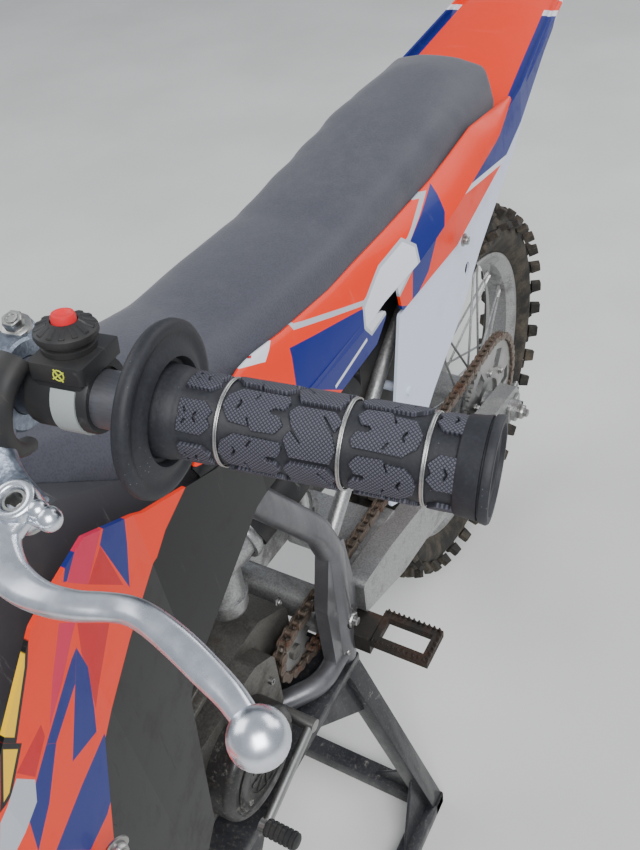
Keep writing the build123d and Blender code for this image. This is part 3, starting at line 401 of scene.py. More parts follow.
@dataclass(frozen=True)
class RustySteel(Finish):
    """Steel gone brown from heat and weather."""

    bare: Colour = colour(120, 108, 98)
    amount: float = 0.7

    def make(self, shader: Shader) -> bpy.types.Material:
        """Builds the finish's nodes in a shader."""
        broad = shader.noise(18.0, 5.0, 0.7, twist=0.6)
        fine = shader.noise(210.0, 5.0, 0.75)
        rust = (broad * 0.6 + fine * 0.4).ramp(0.6 - 0.2 * self.amount, 0.68 - 0.14 * self.amount)
        brown = shader.mix(fine.ramp(0.35, 0.65), self.base, self.tinted(0.42))
        return shader.surface(
            Base_Color=shader.mix(rust, self.bare, brown),
            Metallic=0.9 - rust * 0.85,
            Roughness=rust.ramp(0.0, 1.0, self.rough, 0.9),
            Normal=shader.bump(fine * 0.7 + rust * 0.4, 0.0004, 0.8))


@dataclass(frozen=True)
class Moulded(Finish):
    """Injection-moulded plastic: faint flow marks, scratches and dust."""

    grain: float = 900.0
    dust: float = 0.12
    fade: float = 0.03
    scratch: float = 0.1
    coat: float = 0.0

    def make(self, shader: Shader) -> bpy.types.Material:
        """Builds the finish's nodes in a shader."""
        return self.body(shader, self.base)

    def body(self, shader: Shader, paint: object) -> bpy.types.Material:
        """Ends the plastic with a colour of its own.

        Args:
            shader: The shader that is built.
            paint: The colour or its socket.

        Returns:
            The material.
        """
        flow = shader.noise(5.0, 3.0)
        stipple = shader.noise(self.grain, 2.0)
        stretched = shader.place((1, 0.1, 0.16), (0.3, 0.5, 0.8))
        scratches = shader.noise(120.0, 5.0, 0.75, stretched).ramp(0.6, 0.68)
        grime = (shader.noise(26.0, 5.0, 0.68) * 0.6 + flow * 0.4).ramp(0.48, 0.68)
        faded = shader.mix(flow.ramp(0.3, 0.7, 0.0, self.fade), paint, (0.9, 0.88, 0.84))
        dusty = shader.mix(grime * self.dust, faded, colour(126, 115, 96))
        return shader.surface(
            Base_Color=shader.mix(scratches * self.scratch, dusty, (0.6, 0.59, 0.56)),
            Roughness=scratches * 0.2 + grime * 0.18 + self.rough,
            Coat_Weight=self.coat,
            Specular_IOR_Level=0.3,
            Normal=shader.bump(stipple * 0.3 - scratches * 0.5 + flow * 0.3, 0.00015, 0.6))


@dataclass(frozen=True)
class Shape:
    """A filled polygon on a panel, in bike x and z: most are printed graphics, two on the shroud are painted
    shadow.
    """

    corners: Outline
    fill: Colour
    edge: Colour | None = None
    edge_width: float = 7.0


@dataclass(frozen=True)
class Graphic(Moulded):
    """Plastic with plain shapes on a clear-coated film: printed graphics, and on the shroud two dark shapes
    of painted shadow.
    """

    shapes: tuple[Shape, ...] = ()
    flank: bool = False
    blur: float = 0.0003
    flank_slope: float = 0.098
    flank_reach: float = 0.083
    flank_most: float = 0.09

    def inside(self, shader: Shader, shape: Shape, vector: Socket) -> Value:
        """Measures how deep a point lies within a convex shape.

        Args:
            shader: The shader that is built.
            shape: The shape.
            vector: The point's coordinates.

        Returns:
            The depth in metres.
        """
        points = [at(x, 0, z) for x, z in shape.corners]
        middle = sum(points, Vector()) / len(points)
        depth: Value | None = None
        for first, second in zip(points, points[1:] + points[:1]):
            run = second - first
            normal = Vector((-run.z, 0, run.x)).normalized()
            if normal.dot(middle - first) < 0:
                normal = -normal
            reach = shader.distance(normal, normal.dot(first), vector)
            depth = reach if depth is None else depth.least(reach)
        return depth

    def make(self, shader: Shader) -> bpy.types.Material:
        """Builds the finish's nodes in a shader."""
        vector = shader.place()
        paint: object = self.base
        for shape in self.shapes:
            depth = self.inside(shader, shape, vector)
            if shape.edge:
                paint = shader.mix(depth.ramp(-self.blur, self.blur), paint, shape.edge)
                depth = depth - shape.edge_width * MM
            paint = shader.mix(depth.ramp(-self.blur, self.blur), paint, shape.fill)
        if self.flank:
            sideways = shader.distance(LEFT, 0.0).size()
            along = shader.distance(AHEAD, BIKE_ORIGIN.x * MM)
            reach = (along * self.flank_slope + self.flank_reach).least(self.flank_most)
            paint = shader.mix((sideways - reach).ramp(-self.blur, self.blur), self.base, paint)
        return self.body(shader, paint)


@dataclass(frozen=True)
class Rubber(Finish):
    """Black rubber with a pale dusty film; where it has a hatch, its raised diamonds are painted lighter as a
    painted highlight.
    """

    bloom_and_highlight: Colour = colour(96, 94, 92)
    dust: float = 0.3
    grain: float = 700.0
    hatch: float = 0.0

    def make(self, shader: Shader) -> bpy.types.Material:
        """Builds the finish's nodes in a shader."""
        patch = shader.noise(30.0, 5.0, 0.65)
        grain = shader.noise(self.grain, 3.0, 0.6)
        specks = shader.cells(520.0).ramp(0.1, 0.04) * patch.ramp(0.5, 0.62)
        dusty = (patch * 0.6 + grain * 0.4).ramp(0.42, 0.66) * self.dust
        tone = shader.mix(dusty, self.base, self.bloom_and_highlight)
        height = grain * 0.4
        if self.hatch:
            own = shader.node("ShaderNodeUVMap", {}, {}).outputs[0]
            across = shader.distance(Vector((1, 1, 0)), 0.0, own) * (pi / self.hatch)
            down = shader.distance(Vector((1, -1, 0)), 0.0, own) * (pi / self.hatch)
            lines = across.wave().size().least(down.wave().size())
            ribs = lines.ramp(0.2, 0.65)
            # Painted highlight: the raised diamonds are painted toward a lighter colour, as if lit.
            tone = shader.mix(ribs * 0.55, tone, self.bloom_and_highlight)
            height = height * 0.3 + ribs
        return shader.surface(
            Base_Color=shader.mix(specks * 0.7, tone, (0.5, 0.5, 0.48)),
            Roughness=dusty * 0.25 + self.rough,
            Specular_IOR_Level=0.4,
            Normal=shader.bump(height, 0.0003, 0.8))


@dataclass(frozen=True)
class Vinyl(Finish):
    """Seat cover with a fine leather grain and a soft sheen."""

    grain: float = 620.0

    def make(self, shader: Shader) -> bpy.types.Material:
        """Builds the finish's nodes in a shader."""
        leather = shader.cells(self.grain, "SMOOTH_F1")
        creases = shader.noise(95.0, 4.0, 0.6, twist=0.8)
        broad = shader.noise(4.0, 4.0, 0.6)
        dust = (broad * 0.55 + shader.noise(45.0, 5.0, 0.7) * 0.45).ramp(0.44, 0.66)
        tone = shader.mix(leather.ramp(0.1, 0.6), self.tinted(0.8), self.tinted(1.12))
        return shader.surface(
            Base_Color=shader.mix(dust * 0.12, tone, colour(118, 116, 118)),
            Roughness=dust * 0.12 + leather * 0.1 + self.rough,
            Sheen_Weight=0.15,
            Normal=shader.bump(leather * 0.6 + creases * 0.5, 0.00045, 0.7))


ORANGE = colour(232, 48, 4)
BLUE = colour(8, 26, 112)
RED = colour(190, 8, 20)
MAGENTA = colour(200, 18, 66)
WHITE = colour(214, 216, 224)
YELLOW = colour(240, 190, 20)
# Near-black of printed outlines; the shroud's two painted-shadow shapes use it too.
DARK_INK_AND_SHADOW = colour(8, 8, 10)
SILVER = colour(176, 180, 188)

# Painted shade and light: the grip body is painted darker as shade between the blocks and the tread blocks
# lighter as lit; both are one rubber.
GRIP_BODY_SHADED = Rubber("grip_body_rubber", "grip_rubber", colour(30, 31, 36), 0.56, bloom_and_highlight=colour(80, 82, 92),
                   dust=0.15)
GRIP_TREAD_LIT = Rubber("grip_tread_rubber", "grip_rubber", colour(42, 42, 49), 0.66, bloom_and_highlight=colour(100, 100, 113),
                    dust=0.1, hatch=0.0015)
TYRE = Rubber("tyre_compound", "tyre_rubber", colour(34, 33, 32), 0.8, bloom_and_highlight=colour(112, 102, 86), dust=0.55)
SEAT_VINYL = Vinyl("seat_cover_vinyl", "seat_vinyl", colour(60, 61, 71), 0.55)
FRAME_PAINT = Paint("frame_satin_grey", "frame_grey", colour(104, 104, 108), 0.42, metallic=0.6)
STAND_PAINT = Paint("stand_black_paint", "black_metal", colour(30, 31, 36), 0.42, wear=0.9)
BLACK_METAL = Paint("black_coated_metal", "black_metal", colour(26, 26, 28), 0.4, wear=0.5)
COVER_BLACK = Paint("cover_black_paint", "cover_black", colour(30, 29, 29), 0.4, wear=0.8)
ENGINE_CAST = CastMetal("engine_cast_alloy", "engine_grey", colour(112, 110, 106), 0.5, dirt=0.85)
ALLOY_CAST = CastMetal("bare_cast_alloy", "alloy", colour(168, 168, 168), 0.4, dirt=0.4)
CLAMP_BLAST = CastMetal("clamp_blasted_alloy", "clamp_metal", colour(128, 136, 150), 0.42, dirt=0.2)
RUSTED = RustySteel("rusty_pipe_steel", "rusty_steel", colour(112, 62, 36), 0.5)
PEG_STEEL = RustySteel("peg_dark_steel", "steel", colour(66, 46, 34), 0.55, bare=colour(66, 63, 60))
CHAIN_STEEL = RustySteel("chain_steel_worn", "chain_steel", colour(104, 64, 42), 0.45, amount=0.5)
STEEL = BareMetal("plated_steel", "steel", colour(166, 166, 164), 0.34)
CHROME = BareMetal("hard_chrome_tube", "chrome_steel", colour(200, 202, 206), 0.16, dull=0.1)
POLISHED = BareMetal("polished_lever_alloy", "polished_alloy", colour(222, 226, 234), 0.27, (0.1, 0.1, 0.1),
                     scratch=0.05, dull=0.06)
BAR_METAL = BareMetal("worn_bar_alloy", "bar_grey", colour(118, 120, 128), 0.5, scratch=0.9, dull=0.5)
BLACK_PLASTIC = Moulded("black_moulding", "black_plastic", colour(26, 27, 30), 0.5)
WHITE_PLASTIC = Moulded("white_moulding", "white_plastic", colour(206, 214, 232), 0.38)
TANK_PLASTIC = Moulded("tank_moulding", "tank_plastic", colour(60, 60, 64), 0.45)
ORANGE_PLASTIC = Moulded("orange_moulding", "orange_plastic", ORANGE, 0.36)
BUTTON_RED = Moulded("button_red", "orange_plastic", colour(214, 22, 34), 0.45)
MARK_GREEN = Moulded("mark_yellow_green", "orange_plastic", colour(196, 204, 60), 0.5, dust=0.0)
STRAP_GREY = Moulded("strap_light_grey", "white_plastic", colour(150, 156, 156), 0.4)
SPRING_WHITE = Paint("spring_white_powder", "steel", colour(200, 200, 198), 0.35, wear=0.7)
PAD_FABRIC = Vinyl("bar_pad_cover", "pad_foam", colour(34, 34, 40), 0.7, grain=900.0)

SLOT_FINISHES: dict[str, Finish] = {finish.slot: finish for finish in (
    FRAME_PAINT, ALLOY_CAST, ENGINE_CAST, COVER_BLACK, RUSTED, TANK_PLASTIC, SEAT_VINYL, ORANGE_PLASTIC,
    WHITE_PLASTIC, BLACK_PLASTIC, STEEL, CHAIN_STEEL, BLACK_METAL, CLAMP_BLAST, CHROME, BAR_METAL, PAD_FABRIC,
    GRIP_BODY_SHADED, POLISHED, TYRE)}

BLADE_SHAPES = (
    Shape(((320, 960), (232, 921), (269, 906), (409, 938), (397, 948)), MAGENTA),
    Shape(((331, 817), (520, 782), (481, 746), (385, 777)), ORANGE),
    Shape(((275, 897), (282, 867), (331, 817), (378, 799), (361, 872)), BLUE),
    Shape(((471, 854), (378, 799), (520, 782), (618, 857), (602, 890)), BLUE),
    Shape(((421, 927), (289, 895), (361, 872), (470, 856), (585, 898), (585, 925)), ORANGE, SILVER, 5.0),
    Shape(((372, 881), (355, 865), (362, 842), (422, 821), (469, 817), (484, 836), (476, 857), (426, 877)),
          WHITE, SILVER, 4.0),
    Shape(((480, 818), (556, 811), (556, 815), (480, 822)), WHITE),
    Shape(((638, 939), (588, 918), (639, 900), (682, 921)), WHITE),
    Shape(((630, 938), (607, 928), (652, 912), (666, 920)), RED),
    Shape(((699, 965), (638, 939), (682, 921), (688, 925)), BLUE))
SHROUD_SHAPES = BLADE_SHAPES + (
    Shape(((854, 993), (860, 976), (929, 944), (944, 965), (906, 986), (860, 1002)), MAGENTA),
    Shape(((860, 1002), (944, 966), (947, 969), (911, 999), (871, 1011)), BLUE),
    Shape(((858, 966), (878, 923), (894, 896), (904, 952), (861, 975)), BLUE),
    Shape(((899, 905), (929, 944), (904, 951)), RED),
    Shape(((953, 938), (986, 925), (1010, 919), (991, 936), (965, 954)), MAGENTA),
    Shape(((927, 901), (972, 874), (961, 915), (952, 936)), RED),
    Shape(((961, 903), (973, 876), (981, 862), (1009, 878), (962, 925)), BLUE),
    Shape(((962, 925), (977, 910), (1012, 905), (1018, 915), (981, 923), (970, 925)), BLUE),
    Shape(((1012, 905), (1038, 887), (1061, 879), (1053, 906), (1018, 915)), BLUE),
    Shape(((976, 851), (984, 811), (1008, 808), (1033, 815), (1052, 859), (1012, 856)), BLUE),
    Shape(((1014, 929), (1016, 920), (1036, 913), (1044, 933)), RED),
    Shape(((1031, 940), (1054, 929), (1065, 932), (1042, 960)), YELLOW, DARK_INK_AND_SHADOW, 3.0),
    Shape(((989, 978), (1001, 966), (1034, 945), (1042, 960), (1010, 997), (997, 988)), YELLOW, DARK_INK_AND_SHADOW, 3.0),
    Shape(((1037, 912), (1044, 901), (1070, 900), (1077, 915), (1068, 927), (1046, 931)), SILVER),
    # Painted shadow: the next two dark shapes paint the shade inside the shroud, not print.
    Shape(((700, 790), (782, 876), (857, 880), (916, 867), (978, 847), (1018, 779), (960, 560), (700, 560)),
          DARK_INK_AND_SHADOW),
    Shape(((640, 780), (640, 844), (700, 871), (790, 905), (836, 891), (857, 878), (782, 780)), DARK_INK_AND_SHADOW),
    Shape(((1040, 800), (1010, 660), (1070, 700), (1085, 790)), BLUE, WHITE, 5.0),
    Shape(((1095, 925), (1085, 800), (1120, 800), (1145, 870), (1130, 915)), MAGENTA, WHITE, 5.0))
TAIL_SHAPES = BLADE_SHAPES + (
    Shape(((125, 985), (90, 1019), (-237, 926), (-122, 866), (13, 822), (235, 859)), BLUE, WHITE),
    Shape(((-360, 990), (-360, 900), (-250, 900), (-225, 990)), ORANGE, WHITE))
FILM = {"rough": 0.38, "coat": 0.1, "dust": 0.04, "fade": 0.0, "scratch": 0.04}
# The shroud film carries the printed shapes and the two painted-shadow shapes.
SHROUD_PRINT_AND_SHADOW = Graphic("shroud_print_and_painted_shadow_film", "orange_plastic", ORANGE, **FILM, shapes=SHROUD_SHAPES)
TAIL_ART = Graphic("tail_printed_film", "orange_plastic", ORANGE, **FILM, flank=True, shapes=TAIL_SHAPES)
NODE_FINISHES: dict[str, Finish] = {
    "shroud_left": SHROUD_PRINT_AND_SHADOW, "shroud_right": SHROUD_PRINT_AND_SHADOW, "rear_fender": TAIL_ART, "footpegs": PEG_STEEL}


class Blank:
    """A mesh in the making, in bike millimetres, shaped by bmesh operators."""

    def __init__(self) -> None:
        """Starts an empty mesh."""
        self.mesh = bmesh.new()

    def add(self, other: Blank, move: Matrix | None = None) -> Blank:
        """Takes in a copy of another blank.

        Args:
            other: The blank to take in; it stays as it is.
            move: Where the copy goes.

        Returns:
            This blank.
        """
        holder = bpy.data.meshes.new("holder")
        other.mesh.to_mesh(holder)
        if move is not None:
            holder.transform(move)
            if move.determinant() < 0:
                holder.flip_normals()
        self.mesh.from_mesh(holder)
        bpy.data.meshes.remove(holder)
        return self

    def move(self, matrix: Matrix) -> Blank:
        """Moves the whole blank."""
        bmesh.ops.transform(self.mesh, matrix=matrix, verts=self.mesh.verts)
        return self

    def tidy(self, merge: float = 0.001) -> Blank:
        """Merges doubles and points the faces outwards."""
        bmesh.ops.remove_doubles(self.mesh, verts=self.mesh.verts, dist=merge)
        bmesh.ops.recalc_face_normals(self.mesh, faces=self.mesh.faces)
        return self

    def lift(self, height: float) -> Blank:
        """Extrudes the flat blank upwards by a height."""
        raised = bmesh.ops.extrude_face_region(self.mesh, geom=self.mesh.faces[:], use_keep_orig=True)
        verts = [item for item in raised["geom"] if isinstance(item, bmesh.types.BMVert)]
        bmesh.ops.translate(self.mesh, verts=verts, vec=(0, 0, height))
        return self.tidy()

    def ring(self, other: Blank, count: int, inner: Matrix, axis: str = "Z", start: float = 0.0,
             outer: Matrix | None = None) -> Blank:
        """Takes in copies of another blank, turned evenly round an axis.

        Args:
            other: The blank to take in.
            count: How many copies.
            inner: Where a copy goes before its turn.
            axis: X, Y or Z.
            start: The first copy's turn, in pitches.
            outer: Where the ring goes.

        Returns:
            This blank.
        """
        for index in range(count):
            turn = turned(axis, tau * (index + start) / count)
            self.add(other, (outer or Matrix()) @ turn @ inner)
        return self

    def bevel(self, width: float, segments: int = 2, angle: float = 30.0) -> Blank:
        """Rounds the edges that turn by more than an angle.

        Args:
            width: The bevel's width.
            segments: Its segments.
            angle: The least turn between faces, in degrees.

        Returns:
            This blank.
        """
        sharp = [edge for edge in self.mesh.edges
                 if len(edge.link_faces) == 2 and edge.calc_face_angle(0.0) > radians(angle)]
        bmesh.ops.bevel(self.mesh, geom=sharp, offset=width, offset_type="OFFSET", segments=segments,
                        profile=0.5, affect="EDGES", clamp_overlap=True, material=-1)
        return self

    def piece(self, name: str, finish: Finish, body: Body, smooth: float = 40.0,
              replaces: Sequence[str] = (), subdivide: int = 0) -> bpy.types.Object:
        """Makes the blank a finished piece.

        Args:
            name: The piece's name.
            finish: What it is finished with.
            body: The body that it rides on.
            smooth: Faces that meet at less than this angle shade as one, in degrees.
            replaces: CAD nodes that it stands for.
            subdivide: Levels of subdivision surface.

        Returns:
            The piece.
        """
        mesh = bpy.data.meshes.new(name)
        bmesh.ops.transform(self.mesh, matrix=Matrix.Scale(MM, 4) @ Matrix.Translation(BIKE_ORIGIN),
                            verts=self.mesh.verts)
        for face in self.mesh.faces:
            face.smooth = True
        for edge in self.mesh.edges:
            edge.smooth = edge.calc_face_angle(0.0) < radians(smooth) or subdivide > 0
        self.mesh.to_mesh(mesh)
        self.mesh.free()
        mesh.materials.append(finish.material())
        thing = put(name, mesh)
        if subdivide:
            modifier = thing.modifiers.new("subdivision", "SUBSURF")
            modifier.levels = modifier.render_levels = subdivide
        if replaces:
            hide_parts(*replaces)
        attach(thing, body.value)
        LOG.info("%s: %d faces on %s", name, len(mesh.polygons), body.value)
        return thing


def lathe(profile: Sequence[tuple[float, float]], steps: int = 48, closed: bool = False) -> Blank:
    """Turns a profile round the Z axis.

    Args:
        profile: Points of radius and height, outer side from low to high.
        steps: Steps round the axis.
        closed: Whether the profile is a loop.

    Returns:
        The turned blank.
    """
    blank = Blank()
    verts = [blank.mesh.verts.new((radius, 0, height)) for radius, height in profile]
    pairs = list(zip(verts, verts[1:] + verts[:1]))
    edges = [blank.mesh.edges.new(pair) for pair in (pairs if closed else pairs[:-1])]
    bmesh.ops.spin(blank.mesh, geom=verts + edges, cent=(0, 0, 0), axis=(0, 0, 1), angle=tau,
                   steps=steps, use_merge=True, use_duplicate=False)
    return blank.tidy()


def wire_section(radius: float, height: float, wide: float, high: float,
                 count: int = 6) -> list[tuple[float, float]]:
    """Returns a wire's section, of half sizes wide and high, about a radius and a height."""
    turns = (tau * index / count for index in range(count))
    return [(radius + wide * cos(turn), height + high * sin(turn)) for turn in turns]


def loft(rings: Sequence[Sequence[Vector]]) -> Blank:
    """Bridges closed rings of points into one skin with closed ends.

    Args:
        rings: Rings with like numbers of points.

    Returns:
        The skin.
    """
    blank = Blank()
    loops = []
    for ring in rings:
        verts = [blank.mesh.verts.new(point) for point in ring]
        loops.append([blank.mesh.edges.new(pair) for pair in zip(verts, verts[1:] + verts[:1])])
    for first, second in zip(loops, loops[1:]):
        bmesh.ops.bridge_loops(blank.mesh, edges=first + second)
    bmesh.ops.contextual_create(blank.mesh, geom=loops[0])
    bmesh.ops.contextual_create(blank.mesh, geom=loops[-1])
    bmesh.ops.recalc_face_normals(blank.mesh, faces=blank.mesh.faces)
    return blank


def ring_at(place: Matrix, half_x: float, half_y: float, count: int = 16,
            square: float = 2.0) -> list[Vector]:
    """Returns a ring of points in a workplace's XY plane.

    Args:
        place: The workplace.
        half_x: The ring's half width.
        half_y: Its half height.
        count: How many points.
        square: 2 for an ellipse, more for squarer corners.

    Returns:
        The points.
    """
    points = []
    for index in range(count):
        turn = tau * index / count
        c, s = cos(turn), sin(turn)
        grow = (abs(c) ** square + abs(s) ** square) ** (-1 / square)
        points.append(place @ Vector((half_x * grow * c, half_y * grow * s, 0)))
    return points


def slab(outline: Sequence[tuple[float, float]], thick: float,
         holes: Sequence[Sequence[tuple[float, float]]] = ()) -> Blank:
    """Extrudes an outline in X and Y upwards from zero.

    Args:
        outline: The corners.
        thick: The height.
        holes: Outlines of what is cut out of it.

    Returns:
        The slab.
    """
    blank = Blank()
    edges = []
    for loop in (outline, *holes):
        verts = [blank.mesh.verts.new((x, y, 0)) for x, y in loop]
        edges += [blank.mesh.edges.new(pair) for pair in zip(verts, verts[1:] + verts[:1])]
    if holes:
        bmesh.ops.triangle_fill(blank.mesh, use_beauty=True, edges=edges)
    else:
        bmesh.ops.contextual_create(blank.mesh, geom=edges)
    return blank.lift(thick)


def smooth_line(points: Sequence[Sequence[float]], steps: int = 6) -> list[tuple[float, ...]]:
    """Runs a smooth line through points of any number of values.

    Args:
        points: The points.
        steps: Steps between each two.

    Returns:
        The line's points.
    """
    padded = [points[0], *points, points[-1]]
    line = []
    for a, b, c, d in zip(padded, padded[1:], padded[2:], padded[3:]):
        for step in range(steps):
            t = step / steps
            line.append(tuple(0.5 * (2 * q + (r - p) * t + (2 * p - 5 * q + 4 * r - s) * t * t
                                     + (3 * q - p - 3 * r + s) * t ** 3)
                              for p, q, r, s in zip(a, b, c, d)))
    return line + [tuple(points[-1])]


def swept(path: Sequence[Vector], half: Sequence[tuple[float, float]], up: Vector, count: int = 16,
          square: float = 2.0) -> Blank:
    """Sweeps a changing rounded section along a path.

    Args:
        path: The section's middles.
        half: The section's half sizes, towards up and across it.
        up: The direction of the first half size.
        count: Points round the section.
        square: How square the section is.

    Returns:
        The closed skin.
    """
    rings = []
    for index, middle in enumerate(path):
        ahead = path[min(index + 1, len(path) - 1)] - path[max(index - 1, 0)]
        rings.append(ring_at(frame_of(middle, ahead, up), *half[index], count, square))
    return loft(rings)


def rod_between(start: Vector, end: Vector, radius: float, steps: int = 16, round_end: float = 0.6) -> Blank:
    """Makes a round rod with eased ends.

    Args:
        start: The middle of its first end.
        end: The middle of its other end.
        radius: Its radius.
        steps: Steps round it.
        round_end: How far its end edges are eased.

    Returns:
        The rod.
    """
    length = (end - start).length
    up = UP if abs((end - start).normalized().z) < 0.9 else AHEAD
    profile = [(0, 0), (radius - round_end, 0), (radius, round_end), (radius, length - round_end),
               (radius - round_end, length), (0, length)]
    return lathe(profile, steps).move(frame_of(start, end - start, up))


def hex_bolt(across: float, height: float, flange: float = 0.0) -> Blank:
    """Makes a bolt head that stands on Z zero.

    Args:
        across: The head's size over its corners.
        height: The head's height.
        flange: The flange's radius, or none.

    Returns:
        The bolt head.
    """
    head = Blank()
    bmesh.ops.create_circle(head.mesh, cap_ends=True, radius=across / 2, segments=6)
    head.lift(height).bevel(across * 0.05, 1, 40.0)
    head.add(lathe([(0, height - 0.4), (across * 0.27, height - 0.4), (across * 0.3, height + 0.35),
                    (across * 0.2, height + 0.3), (across * 0.16, height - 0.2), (0, height - 0.2)], 12))
    if flange:
        head.add(lathe([(0, -0.6), (flange, -0.6), (flange, 0.9), (flange * 0.8, 1.6), (0, 1.7)], 16))
    return head


def socket_bolt(radius: float, height: float) -> Blank:
    """Makes a round cap-head bolt with a six-sided socket, standing on Z zero."""
    return lathe([(radius * 0.55, height * 0.35), (radius * 0.55, height * 0.95), (radius * 0.8, height),
                  (radius, height - radius * 0.15), (radius, -0.5), (0, -0.5), (0, height * 0.3),
                  (radius * 0.55, height * 0.35)], 12)


FLANGE = Vector((976.5, 289.2, 1181.9))
OUT = Vector((-0.1679, 0.9854, -0.0296)).normalized()
LEVER_DIP = radians(15.1)
LATHE_OUT = turned("X", -QUARTER)


def hand(side: Side = Side.LEFT) -> Matrix:
    """Returns a hand grip's workplace: X ahead, Y out along the bar, Z up, from its flange."""
    ahead = Vector((cos(LEVER_DIP), 0, -sin(LEVER_DIP)))
    ahead = (ahead - OUT * ahead.dot(OUT)).normalized()
    up = ahead.cross(OUT)
    turn = Matrix((ahead, OUT, up)).transposed().to_4x4()
    place = Matrix.Translation(FLANGE) @ turn
    return place if side is Side.LEFT else MIRROR @ place


@dataclass(frozen=True)
class Tread:
    """The outline of a tread block, along and round the grip, and the lines that are cut in it."""

    outline: Outline
    cuts: tuple[Outline, ...] = ()

    def slit(self, line: Sequence[tuple[float, float]], wide: float = 0.8) -> list[tuple[float, float]]:
        """Returns the outline of a slit.

        Args:
            line: The slit's middle line.
            wide: Its width.

        Returns:
            Its corners.
        """
        points = [Vector(point) for point in line]
        sides: list[list[Vector]] = [[], []]
        for index, point in enumerate(points):
            run = points[min(index + 1, len(points) - 1)] - points[max(index - 1, 0)]
            across = Vector((-run.y, run.x)).normalized() * wide / 2
            sides[0].append(point + across)
            sides[1].append(point - across)
        return [tuple(point) for point in sides[0] + sides[1][::-1]]


@dataclass(frozen=True)
class TreadRing:
    """A ring of like tread blocks round a grip; a flip of -1 turns them end for end."""

    tread: Tread
    along: float
    count: int
    start: float
    flip: float = 1.0


